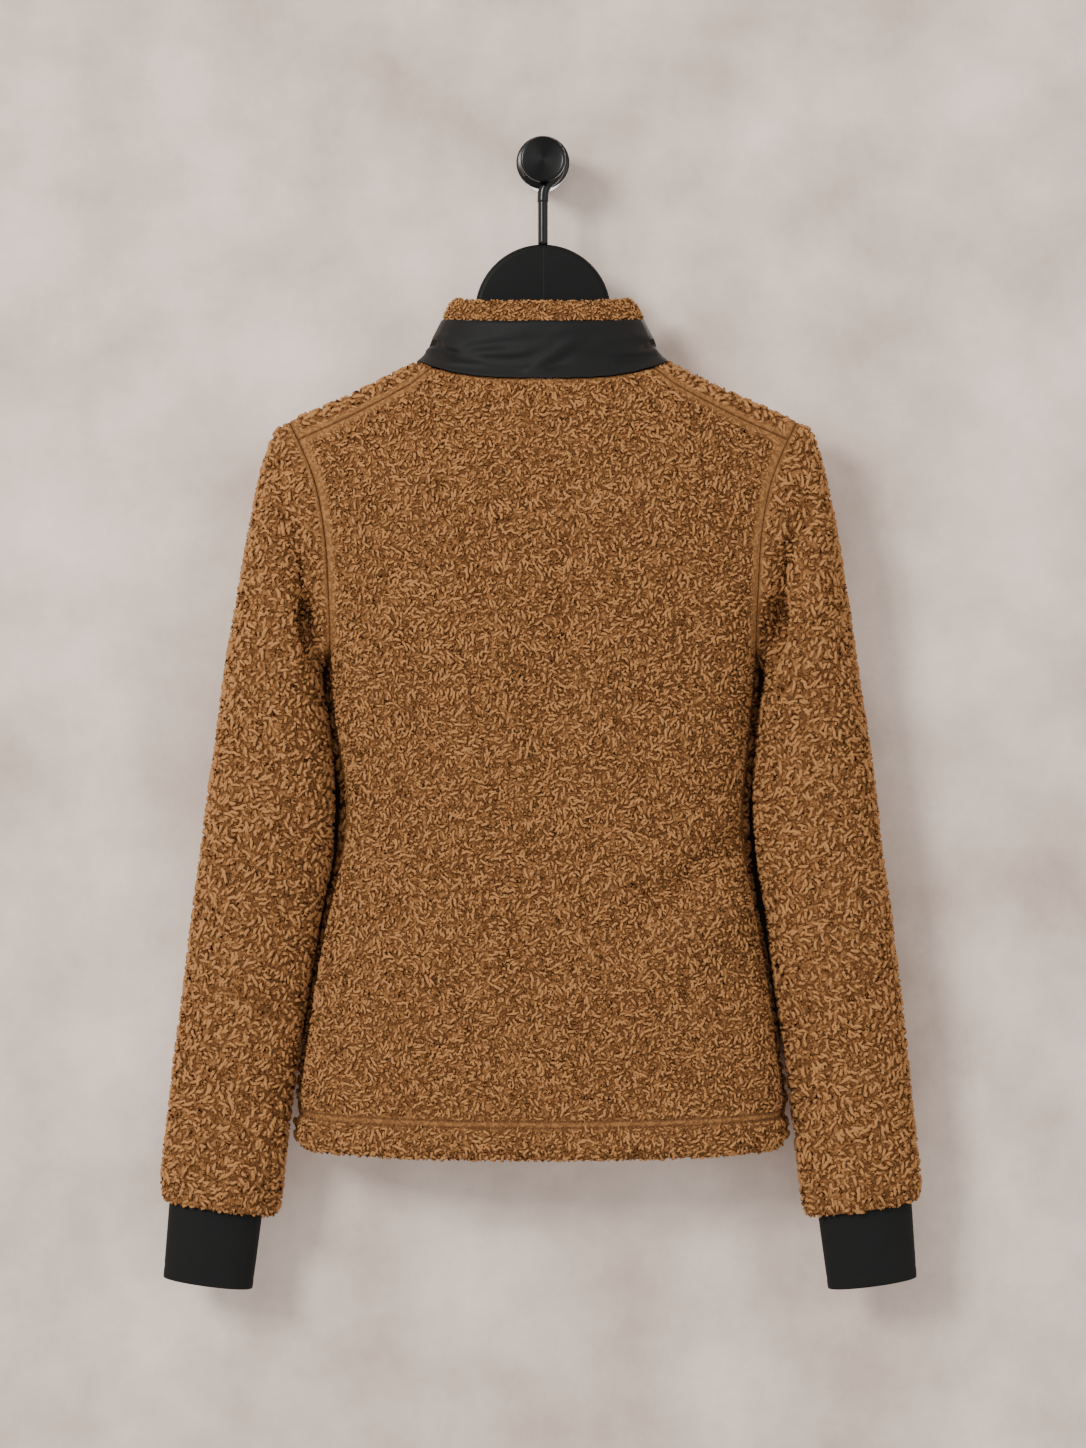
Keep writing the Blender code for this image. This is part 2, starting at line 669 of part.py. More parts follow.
def material(name, colour, roughness, metallic=0.0):
    """A Principled material."""
    made = bpy.data.materials.new(name)
    made.use_nodes = True
    shader = made.node_tree.nodes["Principled BSDF"]
    shader.inputs["Base Color"].default_value = (*colour, 1)
    shader.inputs["Roughness"].default_value = roughness
    shader.inputs["Metallic"].default_value = metallic
    return made


def build_body():
    """Back and fronts, then the two sleeves with their cuffs. Returns the panels for the collar."""
    fleece = material("fleece", (0.24, 0.102, 0.034), 0.95)
    panels = {}
    for right, side in ((False, "left"), (True, "right")):
        back, front = panel(False, right), panel(True, right)
        loop, away, count = armhole(back, front)
        seat_edges(back, front, away, count)
        panels["back_" + side], panels["front_" + side] = back, front
        outside, inside, angles = sleeve(right, loop, away)
        wall("sleeve_" + side, outside, inside, fleece, closed=True)
        cuff = material("cuff_" + side, (0.016, 0.016, 0.016), 0.8)
        cuff_out, cuff_in = cuff_rings(right, CUFF_SHARES, angles, 0.0)
        wall("cuff_" + side, cuff_out, cuff_in, cuff, closed=True)
        point, normal, thick, _ = front
        wall("front_" + side, point, point - normal * thick[..., None], fleece)
    left, right = panels["back_left"], panels["back_right"]
    point, normal, thick = (
        np.concatenate([left[i][:, ::-1], right[i][:, 1:]], axis=1) for i in range(3)
    )
    wall("back", point, point - normal * thick[..., None], fleece)
    return panels


def build_collar(panels):
    """Collar stand and fleece roll. Returns the stand's rings and the roll's points."""
    outside, inside, level = collar(neck_line(panels))
    wall("collar_band", outside, inside, material("woven", (0.022, 0.022, 0.022), 0.6))
    top = outside[-1]
    up = np.array([0, 0, 1])
    roll = np.array([top + up * rise * MM + level * inset * MM for rise, inset in ROLL])
    swept("collar_roll", roll.transpose(1, 0, 2), material("fleece_roll", (0.27, 0.12, 0.04), 0.95))
    return outside, roll


def build_zip(panels, band, roll):
    """Both sides of the zip, the slider and its pull tab."""
    hem_rows = len(HEM)
    lines = [panels[name][0][:, 0] for name in ("front_left", "front_right")]
    path = np.mean(lines, axis=0)
    path = np.concatenate([path[:1], path[hem_rows::2], band[1:, 0], roll[2:4, 0]])[:, 1:]
    along = unit(np.gradient(path, axis=0))
    out = np.stack([along[:, 1], -along[:, 0]], axis=-1)
    face = path - out * ZIP_SET_BACK
    tape = material("zip", (0.02, 0.02, 0.02), 0.5)
    for name, sign in (("zip_left", -1), ("zip_right", 1)):
        sections = []
        for (y, z), (oy, oz) in zip(face, out):
            sections.append(
                [(sign * x * MM, y + oy * rise * MM, z + oz * rise * MM) for x, rise in ZIP_SECTION]
            )
        swept(name, np.array(sections), tape)
    build_slider(face, out)


def build_slider(face, out):
    """The slider on the coil near the top of the stand, with the pull tab hanging from its pin."""
    top = len(face) - 3
    run = Vector((0, *(face[top] - face[top - 1]))).normalized()
    normal = Vector((0, *out[top])).normalized()
    normal = (normal - run * normal.dot(run)).normalized()
    middle = Vector((0, *face[top])) - run * SLIDER_BELOW_ROLL
    frame = Matrix((Vector((1, 0, 0)), normal, run)).transposed().to_4x4()
    frame.translation = middle + normal * PIN_HEIGHT
    paint = material("slider", (0.02, 0.02, 0.02), 0.35, 0.8)

    slider = box("zip_slider", SLIDER, (0, -SLIDER_BELOW_PIN, 0), frame, paint, bevel=0.0008)
    for side in (-1, 1):
        at = (side * POST_SIDE, -POST_BELOW_PIN, 0)
        join(slider, box("post", POST, at, frame, paint, helper=True), "UNION")
    join(slider, rod("pin", PIN_RADIUS, PIN_LENGTH, frame, paint), "UNION")

    grip = (PULL_WIDTH, PULL_THICK, PULL_LENGTH - GRIP_BELOW_PIN)
    pull = box("zip_pull", grip, (0, 0, -GRIP_BELOW_PIN - grip[2] / 2), frame, paint, bevel=0.0005)
    join(pull, box("strap", STRAP, (0, 0, -STRAP_BELOW_PIN), frame, paint, helper=True), "UNION")
    join(pull, rod("eye", EYE_RADIUS, EYE_WIDTH, frame, paint), "UNION")
    join(pull, rod("eye_hole", EYE_HOLE, EYE_HOLE_LENGTH, frame, paint), "DIFFERENCE")


def box(name, size, centre, frame, paint, helper=False, bevel=0.0):
    """A box placed in a frame, with its origin at the frame's."""
    mesh = bpy.data.meshes.new(name)
    work = bmesh.new()
    bmesh.ops.create_cube(work, size=1)
    bmesh.ops.scale(work, vec=size, verts=work.verts)
    bmesh.ops.translate(work, vec=centre, verts=work.verts)
    if bevel:
        bmesh.ops.bevel(work, geom=work.edges, offset=bevel, segments=1, affect="EDGES")
    work.to_mesh(mesh)
    work.free()
    return placed(name, mesh, frame, paint, helper)


def rod(name, radius, length, frame, paint):
    """A helper rod along X through a frame's origin."""
    mesh = bpy.data.meshes.new(name)
    work = bmesh.new()
    bmesh.ops.create_cone(
        work, cap_ends=True, segments=16, radius1=radius, radius2=radius, depth=length,
        matrix=Matrix.Rotation(math.pi / 2, 4, "Y"),
    )
    work.to_mesh(mesh)
    work.free()
    return placed(name, mesh, frame, paint, True)


def placed(name, mesh, frame, paint, helper):
    """Links a mesh as an object in a frame."""
    mesh.materials.append(paint)
    thing = bpy.data.objects.new(name, mesh)
    thing.matrix_world = frame
    if helper:
        thing.hide_render = True
        thing.display_type = "WIRE"
    bpy.context.scene.collection.objects.link(thing)
    return thing


def join(body, helper, operation):
    """Adds or cuts one helper solid."""
    modifier = body.modifiers.new(helper.name, "BOOLEAN")
    modifier.operation = operation
    modifier.object = helper
    modifier.solver = "EXACT"


def hanger_outline():
    """Outline of the hanger seen from behind, down its right half and mirrored."""
    quarter = np.linspace(math.pi / 2, 0, DOME_STEPS + 1)
    top = [(DOME_RADIUS * math.cos(a), DOME_CENTRE_Z + DOME_RADIUS * math.sin(a)) for a in quarter]
    seat = FLEECE + HANGER_SEAT
    spans = np.linspace(HANGER_ARM_START, HANGER_TIP, HANGER_ARM_STEPS)
    slope = -SHOULDER_SLOPE * spans / np.hypot(spans, RIDGE_ROUND)
    line = ridge(spans) - seat * np.sqrt(1 + slope**2)
    top += list(zip(spans, line))
    deep = np.interp(spans, (HANGER_ARM_START, HANGER_TIP), (HANGER_DEEP, HANGER_TIP_DEEP))
    tip = (HANGER_TIP + HANGER_TIP_ROUND[0], line[-1] - HANGER_TIP_ROUND[1])
    bottom = list(zip(spans, line - deep))[::-1]
    low = bottom[-1][1]
    bottom += [(x, low + rise) for x, rise in HANGER_ARCH]
    right = top + [tip] + bottom
    left = [(-x, z) for x, z in right[1:-1]][::-1]
    return right + left


def build_hanger():
    """The hanger's plate, from its outline."""
    outline = hanger_outline()
    count = len(outline)
    points = [
        (x, HANGER_Y + side * HANGER_HALF_THICK, z) for side in (-1, 1) for x, z in outline
    ]
    faces = [tuple(range(count)), tuple(range(count, 2 * count))[::-1]]
    faces += [(k, (k + 1) % count, count + (k + 1) % count, count + k) for k in range(count)]
    hanger = mesh_object("hanger", points, faces, material("hanger", (0.018, 0.018, 0.018), 0.45))
    rounding = hanger.modifiers.new("rounding", "BEVEL")
    rounding.width = HANGER_ROUND
    rounding.segments = 3
    rounding.limit_method = "ANGLE"
    rounding.angle_limit = math.radians(60)


def build_hook():
    """The steel rod: up from the dome, then round the knob's neck."""
    loop_z = NECK_RADIUS + SEAM_GAP + ROD_RADIUS - LOOP_RADIUS
    points = [(0.0, DOME_CENTRE_Z + DOME_RADIUS + SEAM_GAP), *ROD_LINE]
    for degrees in LOOP_DEGREES:
        angle = math.radians(degrees)
        points.append((LOOP_RADIUS * math.cos(angle), loop_z + LOOP_RADIUS * math.sin(angle)))
    curve = bpy.data.curves.new("hanger_hook", "CURVE")
    curve.dimensions = "3D"
    curve.bevel_depth = ROD_RADIUS
    curve.bevel_resolution = 3
    curve.use_fill_caps = True
    line = curve.splines.new("POLY")
    line.points.add(len(points) - 1)
    for place, (x, z) in zip(line.points, points):
        place.co = (x, HANGER_Y, z, 1)
    curve.materials.append(material("hook", (0.015, 0.015, 0.015), 0.2, 0.6))
    hook = bpy.data.objects.new("hanger_hook", curve)
    bpy.context.scene.collection.objects.link(hook)


def build_knob():
    """The wall knob, turned about Y."""
    angles = 2 * math.pi * np.arange(KNOB_SIDES) / KNOB_SIDES
    rings = np.array(
        [
            [(radius * MM * math.cos(a), -out * MM, radius * MM * math.sin(a)) for a in angles]
            for out, radius in KNOB
        ]
    )
    swept("wall_knob", rings, material("knob", (0.02, 0.02, 0.02), 0.35, 0.5))


def main():
    """Clears the scene and builds every piece."""
    for thing in list(bpy.data.objects):
        bpy.data.objects.remove(thing)
    panels = build_body()
    band, roll = build_collar(panels)
    build_zip(panels, band, roll)
    build_hanger()
    build_hook()
    build_knob()


main()
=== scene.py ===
"""Looks of a women's teddy jacket on a hanger and wall knob, seen from behind.

The cloth is rebuilt as thin shells from the garment's own outlines, and the pile is made as curls
laid over them. Tables are in millimetres, everything else is in metres.
"""

import math

import bmesh
import bpy
import numpy as np
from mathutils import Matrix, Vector


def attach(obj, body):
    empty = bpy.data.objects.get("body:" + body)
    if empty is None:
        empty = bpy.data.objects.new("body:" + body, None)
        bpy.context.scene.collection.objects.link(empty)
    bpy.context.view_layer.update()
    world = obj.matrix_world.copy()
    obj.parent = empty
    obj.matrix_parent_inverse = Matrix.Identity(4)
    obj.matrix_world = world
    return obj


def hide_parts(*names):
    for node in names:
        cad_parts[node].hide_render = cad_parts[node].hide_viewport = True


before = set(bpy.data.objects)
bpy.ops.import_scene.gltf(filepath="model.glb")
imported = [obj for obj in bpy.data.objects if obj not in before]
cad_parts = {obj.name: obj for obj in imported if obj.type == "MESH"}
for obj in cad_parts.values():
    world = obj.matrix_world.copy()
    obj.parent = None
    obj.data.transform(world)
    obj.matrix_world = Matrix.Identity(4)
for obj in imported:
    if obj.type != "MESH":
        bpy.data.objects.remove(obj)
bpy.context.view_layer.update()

MM = 0.001
TURN = 2 * math.pi

# Cloth: walls, and how far the cloth's own face lies below the tops of its pile
FLEECE = 0.005
BAND = 0.003
CUFF = 0.0015
SEAM_GAP = 0.0003
HALF_GAP = SEAM_GAP / 2
PILE = 0.0020
PRESSED = 0.0008
GROOVE = 0.0013
NECK_SOFT = 0.093

# Body of the jacket: its hanging plane, shoulder ridge and neck
HANG_Y = -0.055
NECK_POINT = (0.1008, -0.1597)
SHOULDER_SLOPE = 0.53
RIDGE_ROUND = 0.05
RIDGE_ROLL = 0.02
SECTION_POWER = 2.6
ARCH_POWER = 1.3
BACK_ARCH = 0.12
FRONT_ARCH = 0.085
BACK_NECK_DROP = 0.0173
FRONT_NECK_DROP = 0.0733
SEAM_APPROACH = 0.0955
SEAM_JUNCTION = 0.0885
ZIP_HALF = 0.0093
HEM_Z = -0.785
HEM_DIP = 0.004
UNDERARM = -398

# Heights that the body's and the armhole's solvers start from, and how many rounds each runs
MIDDLE_Z, ARMHOLE_Z = -0.4, -0.25
TORSO_ROUNDS, ARMHOLE_ROUNDS, ZIP_ROUNDS = 40, 60, 8

# Outline of the body at each height: half widths to the left and right, depths behind and in front
BODY = (
    (-800, 194.0, 191.5, 62, 42), (-752, 193.4, 191.6, 62, 42), (-737, 192.8, 190.1, 62, 42),
    (-701, 188.1, 185.4, 61, 42), (-669, 184.0, 181.2, 60, 41), (-641, 179.2, 177.2, 59, 41),
    (-600, 171.4, 169.2, 57, 40), (-578, 165.8, 164.8, 56, 40), (-556, 160.3, 161.3, 55, 40),
    (-534, 157.4, 159.2, 55, 40), (-512, 155.9, 158.8, 55, 40), (-496, 157.2, 160.0, 56, 41),
    (-473, 161.4, 162.3, 58, 42), (-447, 165.6, 164.9, 61, 43), (-415, 168.6, 168.0, 65, 44),
    (-398, 169.6, 169.6, 67, 45), (-380, 176.0, 176.0, 68, 45), (-350, 187.0, 186.0, 70, 45),
    (-303, 200.0, 199.0, 72, 45), (-259, 214.0, 213.0, 72, 45), (-226, 225.0, 224.0, 72, 45),
    (-190, 233.0, 232.0, 72, 45), (-100, 238.0, 237.0, 72, 45),
)

# Half width of the armhole seam at each height
ARMHOLE = (
    (-398, 169.8), (-380, 168.8), (-334, 170.0), (-303, 171.6), (-259, 179.6), (-226, 192.5),
    (-212, 199.0), (-190, 208.0),
)

# Turned-up hem: height above the edge, how far the face stands out, and the doubled thickness
HEM = ((0, -1.5, 6.0), (6, 2.2, 9.0), (17, 2.6, 9.5), (24, -1.2, 5.5), (31, 0.0, 5.0))
HEM_ROWS = (0, 2, 4.5, 8, 12, 16, 19, 21.2, 22.6, 23.6, 24.6, 26.2, 27.8, 28.8, 29.8, 31)
STITCH_LINES = (23.6, 28.8)

# Heights of the rows of points up the side seam and round the armhole
SIDE_ROWS = (-754, -718, -680, -641, -603, -568, -534, -505, -476, -448, -423, UNDERARM)
ARMHOLE_ROWS = (-386, -366, -338, -305, -272, -245)

# Columns of points along the top edges
FRONT_NECK_TURNS = (66, 48, 31, 15, 0)
BACK_NECK_COLUMNS = (0, 18, 36, 54, 72)
SHOULDER_COLUMNS = (105, 125, 148, 171)
RIDGE_COLUMNS = (104.5, 109, 116, 131.5, 151.5, 173)
OVER_RIDGE = (1, 0.5, 0.2, 0, -0.2, -0.5, -1)
SHOULDER_SEAM = ((88.5, 11.3), (105, 17.0), (125, 18.5), (148, 19.0), (171, 18.5), (196, 17.5))

# Soft folds: the ends of each fold's line, its half width, and how far it stands out or sinks in.
# They fade out toward the sides and up toward the shoulders.
FOLD_EDGE = 0.02
FOLD_FADE = 0.2
BACK_FOLDS = (
    (165, -534, 68, -602, 13, -9.5),
    (150, -592, 75, -634, 17, 6.0),
    (-150, -520, -95, -560, 15, -3.5),
    (-30, -352, -88, -625, 24, 4.0),
    (30, -330, -14, -560, 20, -2.5),
    (-152, -325, -130, -380, 18, -3.5),
    (148, -498, 96, -520, 9, -2.6),
    (-160, -470, -122, -492, 8, -2.2),
    (120, -655, 60, -690, 15, -1.8),
    (-165, -600, -128, -640, 11, -2.4),
    (20, -220, 90, -300, 22, 1.5),
    (-120, -230, -60, -330, 20, -1.8),
    (110, -330, 128, -420, 15, -2.4),
    (-20, -650, 25, -735, 16, 1.8),
)
# How far the fronts stand out beside their side seams, and where: they hang fuller than the back
FRONT_SIDE = (
    (-785, 7.0), (-750, 9.5), (-700, 8.0), (-640, 7.5), (-575, 9.0), (-535, 12.5), (-475, 12.5),
    (-440, 12.0), (-415, 9.5), (-400, 7.0), (-385, 3.0), (-360, 0.0),
)
SIDE_AT = 0.017
SIDE_WIDE = 0.013
FRONT_FOLDS = (
    (-160, -530, -80, -590, 14, -3.0),
    (155, -540, 90, -575, 15, -2.5),
    (45, -360, 80, -600, 24, 1.5),
    (140, -320, 120, -390, 16, -2.0),
    (-150, -492, -105, -515, 9, -1.5),
    (150, -480, 118, -500, 8, -1.2),
    (-60, -640, -110, -690, 16, -1.0),
)

# Sleeves: height and reach of the outer edge, then of the inner edge, then depths behind and in front
SLEEVE = (
    (-212, 200.4, 198.4, -398, 169.6, 169.6, 44, 30),
    (-219, 211.9, 210.9, -402, 172.6, 172.8, 45, 33),
    (-232, 219.3, 217.7, -406, 174.6, 174.8, 45, 35),
    (-253, 226.8, 225.2, -411, 175.6, 175.8, 46, 37),
    (-278, 231.9, 231.1, -417, 175.6, 176.0, 46, 38),
    (-307, 237.6, 236.8, -424, 174.6, 174.8, 46, 39),
    (-338, 242.9, 241.5, -433, 172.8, 173.2, 46, 40),
    (-372, 248.7, 247.2, -444, 170.8, 171.2, 46, 40),
    (-407, 254.5, 252.1, -457, 169.4, 170.0, 45, 40),
    (-443, 259.1, 257.5, -474, 167.6, 168.8, 44, 40),
    (-478, 263.8, 263.0, -497, 166.4, 167.4, 43, 40),
    (-514, 269.0, 267.0, -527, 166.4, 167.6, 42, 40),
    (-550, 273.4, 271.0, -561, 168.6, 171.0, 41, 39),
    (-589, 278.7, 277.1, -601, 176.6, 177.5, 40, 38),
    (-629, 284.0, 281.7, -641, 183.0, 182.0, 39, 37),
    (-673, 289.1, 287.4, -685, 190.4, 188.0, 38, 36),
    (-717, 295.0, 291.8, -730, 197.1, 194.4, 36, 35),
    (-757, 299.5, 295.8, -771, 202.0, 199.6, 35, 34),
    (-789, 303.2, 299.7, -803, 205.5, 203.1, 34, 33),
    (-807, 305.0, 301.8, -821, 207.1, 204.9, 33, 32),
    (-816, 305.2, 302.2, -830, 208.6, 206.0, 32, 31),
    (-827, 304.0, 301.0, -840, 211.9, 209.1, 30, 29),
)
SEAM_SHARE = (1.0, 0.86, 0.66, 0.44, 0.26, 0.13, 0.05)
EVEN_BY_RING = 8
SEAM_TILT = 0.4
SLEEVE_FOLD_EDGE = 0.025
SLEEVE_FOLDS = (
    (207, -271, 200, -295, 9, -3.5),
    (200, -295, 191, -325, 8, -9.0),
    (191, -325, 179, -385, 9, -17.0),
    (184, -360, 174, -404, 9, -20.0),
    (222, -300, 206, -372, 10, 2.2),
    (262, -470, 215, -498, 9, -2.2),
    (205, -560, 240, -590, 10, -2.4),
    (285, -640, 250, -668, 9, -1.8),
    (212, -700, 246, -724, 11, -2.2),
    (240, -380, 214, -420, 12, -1.8),
    (268, -735, 236, -760, 10, -1.6),
)

# Cuffs: height and reach of the outer edge, then of the inner edge, then half depth
CUFF_TOP = (-815, 297.0, 293.2, -829, 222.6, 218.0, 24.0)
CUFF_END = (-889.5, 302.9, 298.2, -899.0, 231.9, 227.5, 21.5)
CUFF_SIDES, CUFF_ROWS, CUFF_TALL, CUFF_ROUND = 64, 26, 72, 40
# Swells and grooves: distance above the cuff's end or beside its inner edge, half width, height
CUFF_RISES = ((8.0, 1.0, -0.35), (4.0, 3.0, 0.15))
CUFF_SEAM = (8.0, 1.6, -0.35)

# Collar: rings from the neck seam to the top of the stand, and the section of the roll
BAND_RINGS = ((0.0, 0.0), (0.14, 2.2), (0.28, 3.2), (0.6, 1.2), (1.0, 0.0))
BAND_TOP_HALF = 0.0812
BAND_TOP_Z = -0.127
BAND_BACK_DROP = 0.005
BAND_FRONT_DROP = 0.061
BAND_BACK_LEAN = 0.88
BAND_FRONT_LEAN = 0.80
ROLL = (
    (0.3, 0.0), (3.5, 0.2), (7.5, 2.0), (12.0, 4.2), (16.0, 7.4),
    (18.4, 10.8), (17.6, 14.2), (13.0, 15.6), (6.0, 14.0), (1.6, 10.0), (0.3, 3.0),
)
BAND_CREASES = (
    (-93, -142, -71, -157, 2.4, -3.4),
    (-92, -151, -58, -151, 3.2, 1.8),
    (-84, -141, -60, -146, 2.6, 1.3),
    (92, -142, 79, -152, 2.4, -3.2),
    (88, -153, 52, -158, 3.2, 1.7),
    (84, -143, 62, -140, 2.6, 1.2),
    (-10, -170, 26, -146, 2.8, 1.6),
    (4, -170, 34, -150, 2.2, -1.3),
    (-62, -152, -6, -147, 2.2, -1.3),
    (-50, -157, -10, -158, 2.4, 1.4),
    (-28, -131, -12, -142, 2.0, 1.5),
    (-44, -137, -28, -130, 1.8, -1.0),
    (30, -158, 78, -161, 2.4, -1.2),
    (44, -147, 70, -144, 2.4, 1.2),
    (-80, -163, -48, -166, 2.4, 1.2),
    (-22, -162, 4, -156, 2.0, -1.0),
    (10, -140, 40, -137, 2.2, 0.9),
)

# Zip: distance from the middle and height above the tape's face, for one side
ZIP_SECTION = (
    (9.0, 0.0), (3.2, 0.0), (2.4, -0.1), (0.35, -0.1),
    (0.35, -1.1), (2.4, -1.1), (3.2, -1.1), (9.0, -1.1),
)
ZIP_SET_BACK = 0.0014
COIL_PITCH = 0.0018
COIL_MIDDLE = 0.00145
COIL_REACH = 0.00125
COIL_HIGH = 0.00085
COIL_WIRE = 0.00032
COIL_LIFT = 0.0003
COIL_END = 0.002
COIL_POINTS = 8
ZIP_ROWS = 140

# Hanger, its hook and the wall knob
DOME_RADIUS = 0.0543
DOME_CENTRE_Z = -0.1209
DOME_STEPS = 40
HANGER_Y = -0.0565
HANGER_HALF_THICK = 0.0055
HANGER_SEAT = 0.0018
HANGER_ROUND = 0.0042
HANGER_ROUND_STEPS = 6
HANGER_RIM_TURN, HANGER_SHARP_TURN, KNOB_SHARP_TURN = (math.radians(d) for d in (60, 50, 42))
HANGER_ARM_START = DOME_RADIUS + 0.004
HANGER_ARM_STEPS = 18
HANGER_TIP = 0.186
HANGER_TIP_ROUND = (0.006, 0.010)
HANGER_DEEP = 0.036
HANGER_TIP_DEEP = 0.020
HANGER_ARCH = ((0.03, 0.011), (0.0, 0.015))
ROD_RADIUS = 0.004
ROD_SIDES = 28
LOOP_RADIUS = 0.0135
ROD_LINE = ((0.0, -0.0664), (0.0, -0.056), (0.0, -0.045), (0.0, -0.037), (0.0, -0.030))
ROD_BEND = ((0.0004, -0.0245), (0.0026, -0.0195))
LOOP_DEGREES = range(-50, 211, 20)
NECK_RADIUS = 0.0055
FERRULE_LOW = -0.0335
FERRULE_TOP = -0.0185
FERRULE_RADIUS = 0.0045
KNOB = (
    (0.0, 16.0), (0.5, 16.6), (18.0, 17.6), (36.0, 19.9), (46.0, 21.1), (49.6, 21.4), (51.3, 21.1),
    (52.2, 20.0), (52.3, 12.0), (52.2, 5.5), (60.8, 5.5), (60.8, 16.4), (61.1, 17.4), (61.8, 17.9),
    (67.6, 18.0), (68.6, 17.8), (69.2, 17.2), (69.4, 16.4),
)
KNOB_SIDES = 128
KNOB_FACE = ((69.0, 15.9), (68.8, 15.2), (68.7, 8.0), (68.7, 0.4))


def smooth(table, column, at):
    """One column of a table at any height: a cubic curve through its rows, level at its turns."""
    rows = np.array(table, dtype=float)
    rows = rows[np.argsort(rows[:, 0])]
    level, value = rows[:, 0] * MM, rows[:, column] * MM
    step = np.diff(level)
    rise = np.diff(value) / step
    slope = np.empty_like(value)
    slope[1:-1] = np.where(rise[:-1] * rise[1:] > 0, (rise[:-1] + rise[1:]) / 2, 0.0)
    slope[0], slope[-1] = rise[0], rise[-1]
    at = np.clip(at, level[0], level[-1])
    k = np.clip(np.searchsorted(level, at) - 1, 0, len(step) - 1)
    t = (at - level[k]) / step[k]
    start = value[k] * (1 + 2 * t) * (1 - t) ** 2 + step[k] * slope[k] * t * (1 - t) ** 2
    end = value[k + 1] * t**2 * (3 - 2 * t) + step[k] * slope[k + 1] * t**2 * (t - 1)
    return start + end


def unit(vectors):
    """Vectors scaled to length one."""
    return vectors / np.maximum(np.linalg.norm(vectors, axis=-1, keepdims=True), 1e-12)


def finer(values, times):
    """Rows of values with times as many steps, each step cut evenly along a straight line."""
    values = np.asarray(values, float)
    spots = np.linspace(0, len(values) - 1, (len(values) - 1) * times + 1)
    low = np.minimum(spots.astype(int), len(values) - 2)
    part = (spots - low).reshape(-1, *[1] * (values.ndim - 1))
    return values[low] * (1 - part) + values[low + 1] * part


def curved(values, times):
    """Rows of values with times as many steps, along a Catmull-Rom curve through them."""
    values = np.asarray(values, float)
    padded = np.concatenate([[2 * values[0] - values[1]], values, [2 * values[-1] - values[-2]]])
    spots = np.linspace(0, len(values) - 1, (len(values) - 1) * times + 1)
    k = np.minimum(spots.astype(int), len(values) - 2)
    t = (spots - k).reshape(-1, *[1] * (values.ndim - 1))
    a, b, c, d = padded[k], padded[k + 1], padded[k + 2], padded[k + 3]
    return b + 0.5 * t * (c - a + t * (2 * a - 5 * b + 4 * c - d + t * (3 * (b - c) + d - a)))


def ridge(x):
    """Height of the shoulder ridge: a straight slope, rounded where it would cross the middle."""
    return NECK_POINT[1] - SHOULDER_SLOPE * (
        np.hypot(x, RIDGE_ROUND) - math.hypot(NECK_POINT[0], RIDGE_ROUND)
    )


def drop(fall):
    """Distance below the ridge for a signed fall: root of fall squared plus roll squared, less roll."""
    return np.sqrt(fall**2 + RIDGE_ROLL**2) - RIDGE_ROLL


def fall_for(below):
    """The fall that lies a given distance below the ridge."""
    return np.sqrt((np.maximum(below, 0.0) + RIDGE_ROLL) ** 2 - RIDGE_ROLL**2)


def arch(below, length):
    """Share of the full depth reached below the ridge: root of 1 - (1 - below / length) ** 1.3."""
    return np.sqrt(1 - (1 - np.clip(below / length, 0, 1)) ** ARCH_POWER)


def half_width(z, right):
    """Half width of the body on the left or right at height z."""
    return np.where(right, smooth(BODY, 2, z), smooth(BODY, 1, z))


def torso(turn, fall):
    """Point on the body: x = half width * sin(turn), z = ridge - drop, y = depth * arch * section."""
    turn, fall = np.broadcast_arrays(np.asarray(turn, float), np.asarray(fall, float))
    z = np.full(turn.shape, MIDDLE_Z)
    below = drop(fall)
    for _ in range(TORSO_ROUNDS):
        x = half_width(z, turn > 0) * np.sin(turn)
        z = ridge(x) - below
    facing = np.sign(np.cos(turn)) * np.sign(fall)
    depth = np.where(
        facing > 0,
        smooth(BODY, 4, z) * arch(below, FRONT_ARCH),
        smooth(BODY, 3, z) * arch(below, BACK_ARCH),
    )
    share = np.maximum(1 - np.abs(np.sin(turn)) ** SECTION_POWER, 0) ** (1 / SECTION_POWER)
    return np.stack([x, HANG_Y + facing * depth * share, z], axis=-1)


def torso_normal(turn, fall):
    """Outward direction of the body's face, from small steps both ways."""
    step = 1e-4
    across = torso(turn + step, fall) - torso(turn - step, fall)
    along = torso(turn, fall + step) - torso(turn, fall - step)
    normal = unit(np.cross(across, along))
    point = torso(turn, fall)
    inside = point * (0.6, 0, 1) + (0, HANG_Y, -0.03)
    return normal * np.sign(((point - inside) * normal).sum(-1, keepdims=True))


def turn_for(x, z, right):
    """The turn at which the body is x from the middle at height z."""
    return np.arcsin(np.clip(x / half_width(z, right), -1, 1))


def fold_push(table, x, z):
    """How far folds move the cloth out: a bell across each fold's line, fading past its ends."""
    push = np.zeros(np.shape(x))
    for x0, z0, x1, z1, wide, out in np.array(table) * MM:
        run = np.array([x1 - x0, z1 - z0])
        length = np.hypot(*run)
        along = ((x - x0) * run[0] + (z - z0) * run[1]) / length**2
        off = ((x - x0) * run[1] - (z - z0) * run[0]) / length
        past = np.maximum(np.abs(along - 0.5) - 0.5, 0) * length
        fade = np.exp(-((past / (1.5 * wide)) ** 2)) * (0.6 + 0.4 * np.cos(math.pi * (along - 0.35)))
        push += out * np.exp(-((off / wide) ** 2)) * fade
    return push


def armhole_point(fall, right):
    """Turn of the armhole seam for a fall, solved on the armhole's own outline."""
    z = np.full(np.shape(fall), ARMHOLE_Z)
    for _ in range(ARMHOLE_ROUNDS):
        x = smooth(ARMHOLE, 1, z)
        z = 0.5 * z + 0.5 * (ridge(x) - drop(fall))
    return turn_for(x, z, right)


